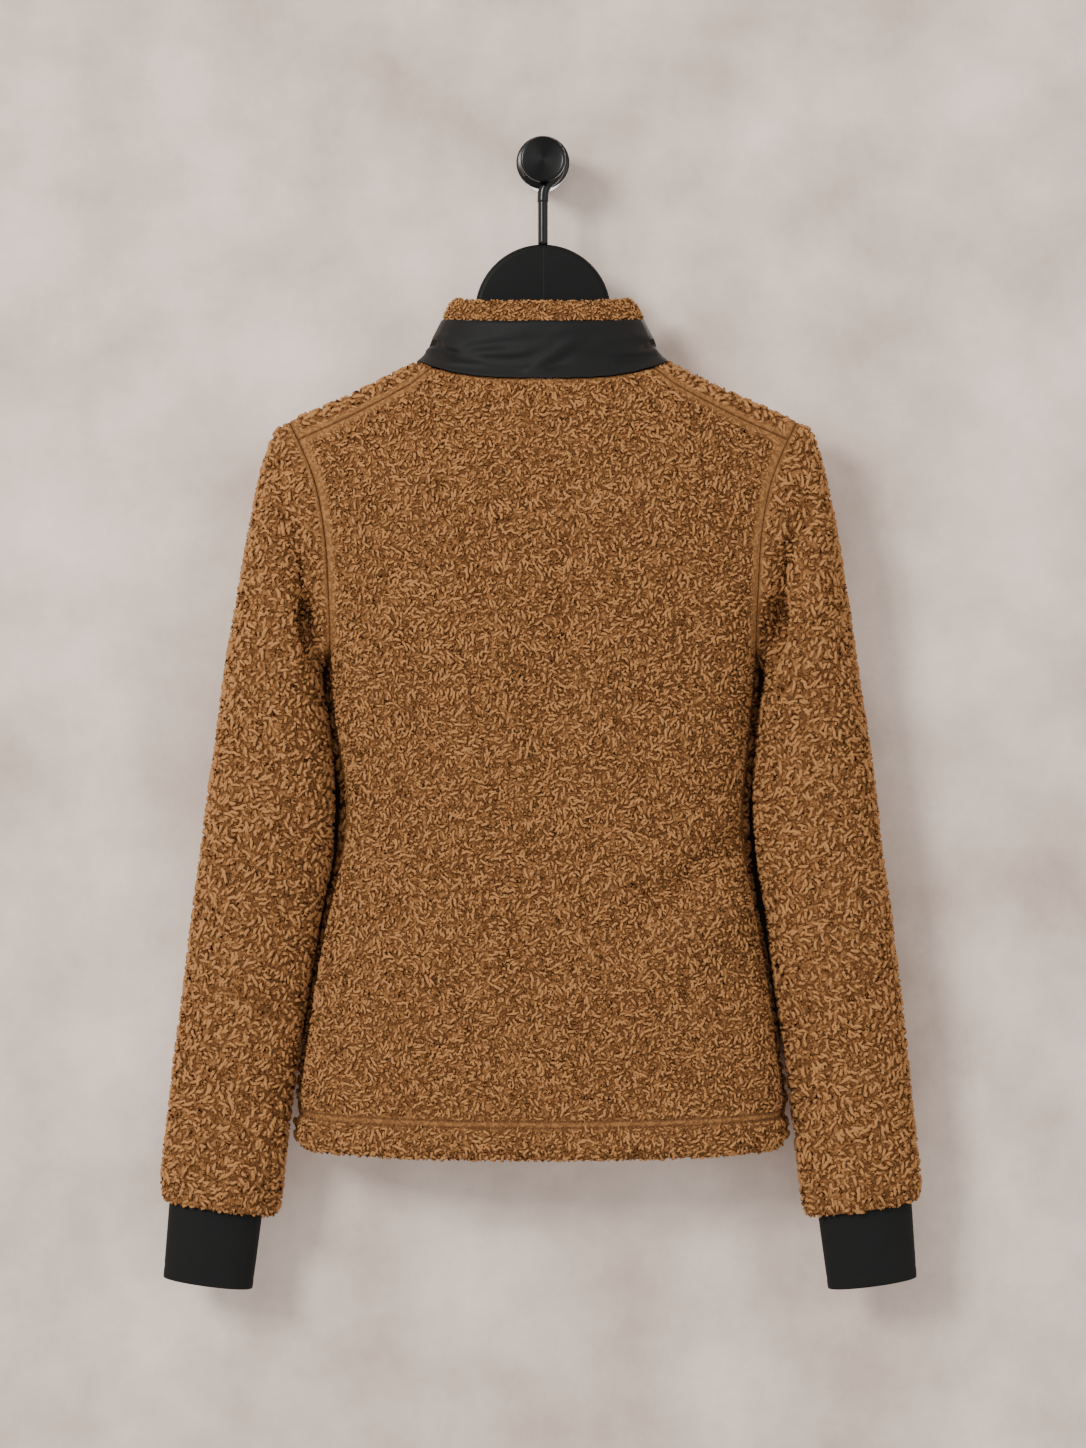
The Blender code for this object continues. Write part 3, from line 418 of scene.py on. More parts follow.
def top_edge(front, right):
    """Turn and fall of each point along a panel's top edge, from the middle to the armhole."""
    seam = np.array(SHOULDER_SEAM) * MM
    points = []
    if front:
        for turn in FRONT_NECK_TURNS:
            x = NECK_POINT[0] * math.cos(math.radians(turn))
            z = NECK_POINT[1] - FRONT_NECK_DROP * math.sin(math.radians(turn))
            points.append((x, z, 1))
        x = ZIP_HALF
        z = NECK_POINT[1] - FRONT_NECK_DROP * math.sqrt(1 - (x / NECK_POINT[0]) ** 2)
        points.insert(0, (x, z, 1))
        columns = (SEAM_APPROACH, SEAM_JUNCTION)
    else:
        columns = tuple(c * MM for c in BACK_NECK_COLUMNS) + (SEAM_JUNCTION,)
    for x in columns:
        z = NECK_POINT[1] - BACK_NECK_DROP * (1 - (x / NECK_POINT[0]) ** 3)
        points.append((x, z, -1))
    for x in (c * MM for c in SHOULDER_COLUMNS):
        points.append((x, ridge(x) - np.interp(x, seam[:, 0], seam[:, 1]), -1))
    x, z, way = np.array(points).T
    fall = way * fall_for(ridge(x) - z)
    turn = turn_for(x, z, right)
    end = -fall_for(seam[-1, 1])
    return np.append(turn, armhole_point(np.array([end]), right)), np.append(fall, end)


def resampled(grids, axis, spots):
    """Grids read at positions along one axis, in straight lines between their cells."""
    k = np.minimum(spots.astype(int), grids[0].shape[axis] - 2)
    found = []
    for grid in grids:
        part = (spots - k).reshape([-1 if a == axis else 1 for a in range(grid.ndim)])
        found.append(np.take(grid, k, axis) * (1 - part) + np.take(grid, k + 1, axis) * part)
    return found


def closer(grids, axis, low=False, high=False):
    """Grids with the first or last three cells along an axis each cut into four."""
    last = grids[0].shape[axis] - 1
    cut = np.arange(13) / 4
    spots = np.arange(last + 1.0)
    spots = np.union1d(spots, cut) if low else spots
    spots = np.union1d(spots, last - cut) if high else spots
    return resampled(grids, axis, spots)


def evened(grids, axis, step):
    """Grids whose points stand step apart along an axis, going by the mean length of each cell."""
    lengths = np.linalg.norm(np.diff(grids[0], axis=axis), axis=-1).mean(axis=1 - axis)
    run = np.concatenate([[0], np.cumsum(lengths)])
    at = np.linspace(0, run[-1], int(run[-1] / step) + 1)
    return resampled(grids, axis, np.interp(at, run, np.arange(len(run))))


class Panel:
    """Half a back, or one front, as rows of points from the hem's edge up to the neck and shoulder.

    Each point is torso(turn, fall) moved out along its direction by the folds and the hem's own form.
    """

    def __init__(self, front, right):
        way = 1 if front else -1
        coarse_turn, coarse_fall = top_edge(front, right)
        self.junction = 3 * (len(FRONT_NECK_TURNS) + 2 if front else len(BACK_NECK_COLUMNS))
        top_turn, top_fall = finer(coarse_turn, 3), finer(coarse_fall, 3)
        seam_fall = -top_fall[-1]
        hem = np.array(HEM_ROWS) * MM
        last = len(hem) - 1
        edge_z = np.concatenate([HEM_Z + hem, finer(SIDE_ROWS, 4)[1:] * MM])
        side_fall = way * fall_for(ridge(half_width(edge_z, right)) - edge_z)
        arm_z = np.array((UNDERARM, *ARMHOLE_ROWS)) * MM
        arm_fall = way * fall_for(ridge(smooth(ARMHOLE, 1, arm_z)) - arm_z)
        over = seam_fall * np.array(OVER_RIDGE) if front else np.array([-seam_fall])
        arm_fall = finer(np.concatenate([arm_fall, over]), 3)[1:]
        edge_fall = np.concatenate([side_fall, arm_fall])
        edge_turn = np.append(np.full(len(side_fall), math.pi / 2), armhole_point(arm_fall, right))

        share = np.clip((edge_fall - edge_fall[last]) / (edge_fall[-1] - edge_fall[last]), 0, 1)
        columns = np.linspace(0, 1, len(top_turn))
        first = turn_for(ZIP_HALF, HEM_Z, right) if front else 0.0
        start_turn = first + columns * (math.pi / 2 - first)
        hem_x = half_width(HEM_Z, right) * np.sin(start_turn)
        hem_z = HEM_Z - (0.0 if front else HEM_DIP) * np.cos(start_turn) ** 2
        low_fall = way * fall_for(ridge(hem_x)[None] - (hem_z[None] + hem[:, None]))
        fall = low_fall[-1] + share[:, None] * (top_fall - low_fall[-1])
        fall[: last + 1] = low_fall
        low_part, top_part = start_turn / start_turn[-1], top_turn / top_turn[-1]
        part = (1 - share[:, None]) * low_part + share[:, None] * top_part
        if front:
            ridge_x = finer(RIDGE_COLUMNS, 3) * MM
            crossing = turn_for(ridge_x, ridge(ridge_x), right) / armhole_point(np.zeros(1), right)[0]
            start = len(top_turn) - 3 - len(ridge_x)
            for column, middle in enumerate(crossing, start):
                nodes = (top_fall[column], 0.0, low_fall[-1, column])
                parts = (top_part[column], middle, low_part[column])
                part[last:, column] = np.interp(fall[last:, column], nodes, parts)
        turn = edge_turn[:, None] * part
        if front:
            for _ in range(ZIP_ROUNDS):
                turn[:, 0] = turn_for(ZIP_HALF, torso(turn[:, 0], fall[:, 0])[:, 2], right)
        fall[-1] += way * HALF_GAP
        if not right:
            turn = -turn

        normal = torso_normal(turn, fall)
        point = torso(turn, fall)
        below = ridge(point[..., 0]) - point[..., 2]
        mask = np.clip((point[..., 1] - HANG_Y) * way / FOLD_EDGE, 0, 1) ** 2
        mask *= np.clip((FOLD_EDGE + below) / FOLD_FADE, 0, 1)
        push = fold_push(FRONT_FOLDS if front else BACK_FOLDS, point[..., 0], point[..., 2]) * mask
        if front:
            ahead = point[..., 1] - HANG_Y
            beside = np.exp(-(((ahead - SIDE_AT) / SIDE_WIDE) ** 2))
            beside *= np.clip(2 * ahead / SIDE_AT, 0, 1)
            push += smooth(FRONT_SIDE, 1, point[..., 2]) * beside
        push[: last + 1] += smooth(HEM, 1, hem)[:, None]
        thick = np.full(point.shape[:2], FLEECE)
        thick[: last + 1] = smooth(HEM, 2, hem)[:, None]
        if front:
            normal[:, 0, 0] = 0
            normal[:, 0] = unit(normal[:, 0])
        self.side = len(side_fall)
        normal[: self.side, -1, 1] = 0
        normal[: self.side, -1] = unit(normal[: self.side, -1])
        point = point + normal * push[..., None]
        point[: self.side, -1, 1] += way * HALF_GAP
        self.point, self.normal, self.thick = point, normal, thick


def armhole(back, front):
    """Seam points of one armhole, from the underarm up the back and down the front, and their
    directions away from the arm: the loop's own sideways directions, tilted by the body's."""
    first = back.side - 1

    def joined(a, b):
        back_edge, front_edge = a[first:, -1], b[first:, -1]
        under, over = (back_edge[0] + front_edge[0]) / 2, (back_edge[-1] + front_edge[-1]) / 2
        return np.concatenate([[under], back_edge[1:-1], [over], front_edge[1:-1][::-1]])

    loop = joined(back.point, front.point)
    along = np.roll(loop, -1, axis=0) - np.roll(loop, 1, axis=0)
    away = unit(np.stack([np.zeros(len(loop)), -along[:, 2], along[:, 1]], axis=-1))
    away *= np.sign(((loop - loop.mean(axis=0)) * away).sum(-1).mean())
    away = unit(away + SEAM_TILT * joined(back.normal, front.normal))
    count = len(back.point) - first
    back.normal[first:, -1] = away[:count]
    front.normal[first:, -1] = np.concatenate([away[:1], away[count - 1 :][::-1]])
    return loop, away


def grid_normals(points, middle):
    """Outward directions of a tube given ring by ring."""
    around = np.roll(points, -1, axis=1) - np.roll(points, 1, axis=1)
    along = np.gradient(points, axis=0)
    normals = unit(np.cross(around, along))
    return normals * np.sign((normals * (points - middle)).sum(-1).mean())


def sleeve_rings(right, loop, away):
    """Points and directions of a sleeve, ring by ring from its end up to the armhole.

    Each ring is middle + half * cos(angle) + depth * sin(angle), and the first rings below the
    armhole pass from the seam's own outline to that ellipse.
    """
    table = np.array(SLEEVE) * MM
    sign, reach = (1, 2) if right else (-1, 1)
    count = len(loop)
    outer = np.stack([sign * table[:, reach], np.full(len(table), HANG_Y), table[:, 0]], axis=-1)
    inner = np.stack([sign * table[:, reach + 3], np.full(len(table), HANG_Y), table[:, 3]], axis=-1)
    middle, half = (outer + inner) / 2, (outer - inner) / 2
    back, front = table[:, 6], table[:, 7]
    across = ((loop - middle[0]) * half[0] / (half[0] ** 2).sum()).sum(-1)
    toward = loop[:, 1] - HANG_Y
    seam_angle = np.unwrap(np.arctan2(toward / np.where(toward < 0, back[0], front[0]), across))
    even = math.pi + TURN * np.arange(count) / count
    seam_angle += TURN * np.round((even[0] - seam_angle[0]) / TURN)

    def ring(k, angle):
        depth = np.where(np.sin(angle) < 0, back[k], front[k]) * np.sin(angle)
        return middle[k] + half[k] * np.cos(angle)[:, None] + np.array([0, 1, 0]) * depth[:, None]

    left_over = loop - ring(0, seam_angle)
    rings = []
    for k in range(len(table)):
        q = min(k / EVEN_BY_RING, 1)
        q = q * q * (3 - 2 * q)
        share = SEAM_SHARE[k] if k < len(SEAM_SHARE) else 0.0
        rings.append(ring(k, (1 - q) * seam_angle + q * even) + share * left_over)
    rings[0] = loop
    points = curved(rings, 4)
    normals = grid_normals(points, curved(middle, 4)[:, None])
    mask = np.clip(np.abs(points[..., 1] - HANG_Y) / SLEEVE_FOLD_EDGE, 0, 1) ** 2
    mask[0] = 0
    push = fold_push(SLEEVE_FOLDS, np.abs(points[..., 0]), points[..., 2]) * mask
    points = points + normals * push[..., None]
    normals[0] = away
    points[0] = loop + np.array([sign * SEAM_GAP, 0, 0])
    return points[::-1], normals[::-1]


def cuff_rings(right, shares, angles, offset):
    """Rings of a cuff at shares of its length: ellipses from its end to its top, larger by offset."""
    reach = 2 if right else 1
    sign = 1 if right else -1
    rings = []
    for share in shares:
        row = ((1 - share) * np.array(CUFF_TOP) + share * np.array(CUFF_END)) * MM
        outer = np.array([sign * row[reach], HANG_Y, row[0]])
        inner = np.array([sign * row[reach + 3], HANG_Y, row[3]])
        middle, half = (outer + inner) / 2, (outer - inner) / 2
        wide = 1 + offset / np.linalg.norm(half)
        deep = (row[6] + offset) * np.sin(angles)[:, None]
        rings.append(middle + half * wide * np.cos(angles)[:, None] + np.array([0, 1, 0]) * deep)
    return np.array(rings)


def swell(at, middle, wide, high):
    """high times e to the power of minus the square of (at - middle) / wide."""
    return high * np.exp(-(((at - middle) / wide) ** 2))


def cuff_wall(right):
    """Rows of a cuff's wall, with a groove over the hem's stitching and one down each side's seam."""
    angles = TURN * np.arange(CUFF_SIDES) / CUFF_SIDES
    shares = np.linspace(1, 0, CUFF_ROWS)
    above = (1 - shares)[:, None] * CUFF_TALL
    beside = np.abs(angles - math.pi)[None] * CUFF_ROUND
    rise = sum(swell(above, *row) for row in CUFF_RISES)
    rise = rise + swell(beside, *CUFF_SEAM) * (np.cos(angles) < 0)
    outer = cuff_rings(right, shares, angles, 0.0)
    inner = cuff_rings(right, shares, angles, -CUFF)
    return rounded_wall(outer + unit(outer - inner) * (rise * MM)[..., None], inner, 4)


def neck_line(panels):
    """Points along the neck seam from the right of the zip round the back to the left."""
    left_front, right_front, left_back, right_back = (panels[n].point[-1] for n in PANEL_NAMES)
    join, back_join = panels["front_left"].junction, panels["back_left"].junction
    return np.concatenate(
        [
            right_front[:join],
            [(right_front[join] + right_back[back_join]) / 2],
            right_back[1:back_join][::-1],
            left_back[:back_join],
            [(left_front[join] + left_back[back_join]) / 2],
            left_front[:join][::-1],
        ]
    )


def inward(points):
    """Level directions from a collar ring toward the neck."""
    along = np.gradient(points[:, :2], axis=0)
    away = unit(np.stack([along[:, 1], -along[:, 0]], axis=-1))
    toward = np.array([0, HANG_Y]) - points[:, :2]
    away *= np.sign((away * toward).sum(-1).mean())
    level = np.concatenate([away, np.zeros((len(away), 1))], axis=1)
    level[[0, -1], 0] = 0
    return unit(level)


def collar_rings(neck):
    """Rings of the collar stand's outer face from the neck seam to its top, and the level
    directions inward: each ring lies a share of the way from the neck line to the top line."""
    x, y, z = neck.T
    back_share = np.clip((NECK_POINT[1] - z) / BACK_NECK_DROP, 0, 1)
    front_share = np.clip((NECK_POINT[1] - z) / FRONT_NECK_DROP, 0, 1)
    behind = y < HANG_Y
    top = np.stack(
        [
            np.where(np.abs(x) <= ZIP_HALF + 1e-4, x, x * BAND_TOP_HALF / NECK_POINT[0]),
            HANG_Y + (y - HANG_Y) * np.where(behind, BAND_BACK_LEAN, BAND_FRONT_LEAN),
            BAND_TOP_Z - np.where(behind, BAND_BACK_DROP * back_share, BAND_FRONT_DROP * front_share),
        ],
        axis=-1,
    )
    start = neck + unit(top - neck) * SEAM_GAP
    level = inward(neck)
    rings = curved([start * (1 - s) + top * s + level * inset * MM for s, inset in BAND_RINGS], 6)
    return rings, level


def added(name, data):
    """A new object in the scene, at the origin."""
    thing = bpy.data.objects.new(name, data)
    bpy.context.scene.collection.objects.link(thing)
    return thing


def mesh_from(name, points, quads, triangles, materials, uv=None, which=None):
    """An object from arrays of points and faces. uv gives each face corner's place on its own map."""
    mesh = bpy.data.meshes.new(name)
    quads = np.asarray(quads, np.int32).reshape(-1, 4)
    triangles = np.asarray(triangles, np.int32).reshape(-1, 3)
    corners = np.concatenate([quads.ravel(), triangles.ravel()])
    mesh.vertices.add(len(points))
    mesh.vertices.foreach_set("co", np.ascontiguousarray(points, np.float32).ravel())
    mesh.loops.add(len(corners))
    mesh.loops.foreach_set("vertex_index", corners)
    mesh.polygons.add(len(quads) + len(triangles))
    starts = np.concatenate(
        [np.arange(len(quads)) * 4, len(quads) * 4 + np.arange(len(triangles)) * 3]
    )
    mesh.polygons.foreach_set("loop_start", starts.astype(np.int32))
    mesh.polygons.foreach_set("use_smooth", np.ones(len(starts), bool))
    if which is not None:
        mesh.polygons.foreach_set("material_index", np.asarray(which, np.int32))
    if uv is not None:
        layer = mesh.uv_layers.new(name="OFBake")
        layer.data.foreach_set("uv", np.ascontiguousarray(uv, np.float32).ravel())
    mesh.update(calc_edges=True)
    for material in materials:
        mesh.materials.append(material)
    return added(name, mesh)


def outward(points, quads, triangles):
    """True if a closed mesh's faces point out, by its signed volume."""
    q, t = np.asarray(quads, int).reshape(-1, 4), np.asarray(triangles, int).reshape(-1, 3)
    t = np.concatenate([q[:, [0, 1, 2]], q[:, [0, 2, 3]], t])
    a, b, c = (points[t[:, i]] for i in range(3))
    return (a * np.cross(b, c)).sum() > 0


# A piece's own map: the width that its grid takes, then where each end's strip starts and its width
MAP_WIDE = 0.97
FIRST_STRIP, LAST_STRIP, STRIP_WIDE = 0.975, 0.99, 0.01


def loop_shell(name, grid, around, materials, rows_of_back=0):
    """A closed piece from a grid whose rows run up its inside, round its edge and up its outside.

    The last row joins the first, and unless the columns go all round, each end is closed by faces
    between row i and row n - 1 - i. The first rows_of_back rows take the second material.
    """
    rows, columns = grid.shape[:2]
    reach = columns if around else columns - 1
    r, c = np.meshgrid(np.arange(rows), np.arange(reach), indexing="ij")
    r2, c2 = (r + 1) % rows, (c + 1) % columns
    quads = np.stack([r * columns + c, r * columns + c2, r2 * columns + c2, r2 * columns + c], -1)
    quads = quads.reshape(-1, 4)
    high, wide = 1 / rows, MAP_WIDE / reach
    u = np.stack([c * wide, (c + 1) * wide, (c + 1) * wide, c * wide], -1)
    v = np.stack([r * high, r * high, (r + 1) * high, (r + 1) * high], -1)
    uv = np.stack([u, v], -1).reshape(-1, 4, 2)
    which = (r.ravel() < rows_of_back) * 1
    if not around:
        i = np.arange(rows // 2 - 1)
        for column, way in ((0, 1), (columns - 1, -1)):
            cap = np.stack([i, rows - 1 - i, rows - 2 - i, i + 1], -1)[:, ::way] * columns + column
            low = FIRST_STRIP if column == 0 else LAST_STRIP
            cap_u = np.array([low, low + STRIP_WIDE, low + STRIP_WIDE, low])[::way]
            cap_v = np.stack([i, i, i + 1, i + 1], -1)[:, ::way] * 2 * high
            quads = np.concatenate([quads, cap])
            uv = np.concatenate([uv, np.stack([np.broadcast_to(cap_u, cap_v.shape), cap_v], -1)])
            which = np.append(which, np.ones(len(cap)))
    points = grid.reshape(-1, 3)
    if not outward(points, quads, []):
        quads, uv = quads[:, ::-1], uv[:, ::-1]
    return mesh_from(name, points, quads, [], materials, uv, which)


def rounded_wall(outside, inside, rim_rows=6):
    """Rows up the inside, round the lower edge as half an ellipse, and up the outside."""
    middle, half = (outside[0] + inside[0]) / 2, (outside[0] - inside[0]) / 2
    down = unit(outside[0] - outside[1]) * np.linalg.norm(half, axis=-1, keepdims=True)
    angles = math.pi * (np.arange(rim_rows) + 0.5) / rim_rows
    rim = [middle - half * math.cos(a) + down * math.sin(a) * 0.8 for a in angles]
    return np.concatenate([inside[::-1], rim, outside])


def carry(thing, **labels):
    """Gives a mesh's points numbers that its material reads by name."""
    for label, values in labels.items():
        attribute = thing.data.attributes.new(label, "FLOAT", "POINT")
        attribute.data.foreach_set("value", np.ascontiguousarray(values, np.float32).ravel())


def tube(name, path, radius, sides, materials):
    """A round bar along a path, its rings square to the path, each end closed by a low dome."""
    path = np.asarray(path, float)
    along = unit(np.gradient(path, axis=0))
    side = unit(np.cross(along, [0, 1, 0]))
    other = np.cross(side, along)
    angle = TURN * np.arange(sides) / sides
    ring = np.cos(angle)[:, None] * side[:, None] + np.sin(angle)[:, None] * other[:, None]
    grid = path[:, None] + ring * radius
    ends = [path[0] - along[0] * radius * 0.25, path[-1] + along[-1] * radius * 0.25]
    return lathe_like(name, grid, ends, materials)


def lathe_like(name, grid, ends, materials):
    """A closed bar from rings of points, with a pole at each end."""
    rows, columns = grid.shape[:2]
    r, c = np.meshgrid(np.arange(rows - 1), np.arange(columns), indexing="ij")
    c2 = (c + 1) % columns
    quads = np.stack(
        [r * columns + c, r * columns + c2, (r + 1) * columns + c2, (r + 1) * columns + c], -1
    ).reshape(-1, 4)
    points = np.concatenate([grid.reshape(-1, 3), np.array(ends)])
    k = np.arange(columns)
    k2 = (k + 1) % columns
    last = (rows - 1) * columns
    first_pole, last_pole = rows * columns, rows * columns + 1
    caps = np.concatenate(
        [
            np.stack([k2, k, np.full(columns, first_pole)], -1),
            np.stack([last + k, last + k2, np.full(columns, last_pole)], -1),
        ]
    )
    if not outward(points, quads, caps):
        quads, caps = quads[:, ::-1], caps[:, ::-1]
    return mesh_from(name, points, quads, caps, materials)


class Skin:
    """The face that pile stands on: a grid of places, outward directions and how far pile stands up."""

    def __init__(self, points, lift, around):
        across = np.gradient(points, axis=1)
        if around:
            across = np.roll(points, -1, axis=1) - np.roll(points, 1, axis=1)
        normals = unit(np.cross(across, np.gradient(points, axis=0)))
        self.rows, self.columns, self.around = points.shape[0], points.shape[1], around
        if around:
            points, normals, lift = (
                np.concatenate([a, a[:, :1]], axis=1) for a in (points, normals, lift)
            )
        self.grids = (points, normals, lift[..., None])

    def fitted(self, place):
        """Row and column positions brought back onto the grid."""
        row = np.clip(place[..., 0], 0, self.rows - 1.0001)
        if self.around:
            return np.stack([row, place[..., 1] % self.columns], -1)
        return np.stack([row, np.clip(place[..., 1], 0, self.columns - 1.0001)], -1)

    def corners(self, place, which):
        """The four grid values round each position, and the position between them."""
        values = self.grids[which]
        r, c = place[..., 0].astype(int), place[..., 1].astype(int)
        a, b = (place[..., 0] - r)[..., None], (place[..., 1] - c)[..., None]
        return values[r, c], values[r, c + 1], values[r + 1, c], values[r + 1, c + 1], a, b

    def at(self, place, which):
        """A grid's value at each position, in straight lines between its four neighbours."""
        p, q, s, t, a, b = self.corners(place, which)
        return (p * (1 - b) + q * b) * (1 - a) + (s * (1 - b) + t * b) * a

    def steps(self, place, moves):
        """Row and column steps that move each position by moves in space, by least squares."""
        p, q, s, t, a, b = self.corners(place, 0)
        by_row = (s - p) * (1 - b) + (t - q) * b
        by_column = (q - p) * (1 - a) + (t - s) * a
        rr, cc, rc = (by_row**2).sum(-1), (by_column**2).sum(-1), (by_row * by_column).sum(-1)
        r, c = (moves * by_row).sum(-1), (moves * by_column).sum(-1)
        det = np.maximum(rr * cc - rc**2, 1e-16)
        return np.stack([(r * cc - c * rc) / det, (c * rr - r * rc) / det], -1)


SPREAD_ROOT = 1.324717957244746


def spread_spots(skin, area_each):
    """Evenly spread positions over a skin: a Kronecker sequence, mapped by the area of its cells.

    Its steps are 1 / g and 1 / g squared, where g is the real root of g cubed = g + 1.
    """
    points = skin.grids[0]
    a, b = np.diff(points, axis=0), np.diff(points, axis=1)
    cell = np.linalg.norm(np.cross(a[:, :-1], b[:-1]), axis=-1)
    total = cell.sum()
    k = np.arange(int(total / area_each))
    first, second = (0.5 + k / SPREAD_ROOT) % 1, (0.5 + k / SPREAD_ROOT**2) % 1
    row_sums = np.concatenate([[0], np.cumsum(cell.sum(1))])
    row = np.interp(first * total, row_sums, np.arange(len(row_sums)))
    low = np.minimum(row.astype(int), len(cell) - 1)
    part = np.cumsum(cell, axis=1) / cell.sum(1, keepdims=True)
    part = np.concatenate([np.zeros((len(cell), 1)), part], axis=1)
    stops = (np.arange(len(cell))[:, None] + part * 0.999999).ravel()
    column = np.interp(low + second * 0.999999, stops, np.tile(np.arange(part.shape[1]), len(cell)))
    return skin.fitted(np.stack([row, column], -1))


def crowd_push(points, owner, reach):
    """For each point, the sum of (reach - distance) away from points of other curls within reach.

    Points are sorted by the cube of side reach that they lie in, and each looks in the 27 cubes
    round its own.
    """
    cube = np.floor(points / reach).astype(np.int64)
    cube -= cube.min(0) - 1
    size = cube.max(0) + 2
    key = (cube[:, 0] * size[1] + cube[:, 1]) * size[2] + cube[:, 2]
    order = np.argsort(key, kind="stable")
    ordered = key[order]
    push = np.zeros_like(points)
    for dx in (-1, 0, 1):
        for dy in (-1, 0, 1):
            wanted = key + (dx * size[1] + dy) * size[2]
            first = np.searchsorted(ordered, wanted - 1)
            last = np.searchsorted(ordered, wanted + 1, side="right")
            live = np.flatnonzero(last > first)
            k = 0
            while len(live):
                other = order[first[live] + k]
                gap = points[live] - points[other]
                far = np.linalg.norm(gap, axis=1)
                near = (far < reach) & (owner[live] != owner[other])
                gap, far, at = gap[near], far[near, None], live[near]
                np.add.at(push, at, gap / np.maximum(far, 1e-6) * (reach - far))
                k += 1
                live = live[last[live] - first[live] > k]
    return push


# Curls: length, radius and rise above the cloth, the cloth that each covers, their distance and the
# waves of their heading. Then how they vary, how they are pushed apart, and their section's corners.
CURL_LENGTH = 0.0104
CURL_RADIUS = 0.00205
CURL_RISE = 0.0010
CURL_SINK = 0.0005
CURL_PRESSED = 0.0014
CURL_AREA = 27.5e-6
CURL_APART = 0.0036
CURL_WANDER = 0.3
FLOW_WAVES = (
    ((171, 60, 93), 0.4, 0.9),
    ((-82, 75, 187), 1.9, 0.9),
    ((262, -90, -141), 4.0, 0.8),
    ((94, 120, -283), 2.6, 0.8),
    ((-331, 40, 120), 5.1, 0.6),
    ((37, 190, 21), 0.9, 1.2),
)
CURL_POINTS = 7
CURL_LENGTHS = (0.7, 1.3)
CURL_THICKS = (0.82, 1.15)
CURL_HEIGHTS = (0.4, 1.0)
HOOKED = 0.35
HOOK_BENDS = (0.3, 0.7)
PUSH_ROUNDS = 7
PUSH_SHARE = 0.55
PUSH_OWN = 0.6
CORNER_UP, CORNER_DOWN = 0.78, 0.45
# Widths on the curls' map of the faces that show and of those underneath
TOP_WIDE, UNDER_WIDE = 0.98, 0.015
STANDING = 0.3
PILE_STEP = 0.002


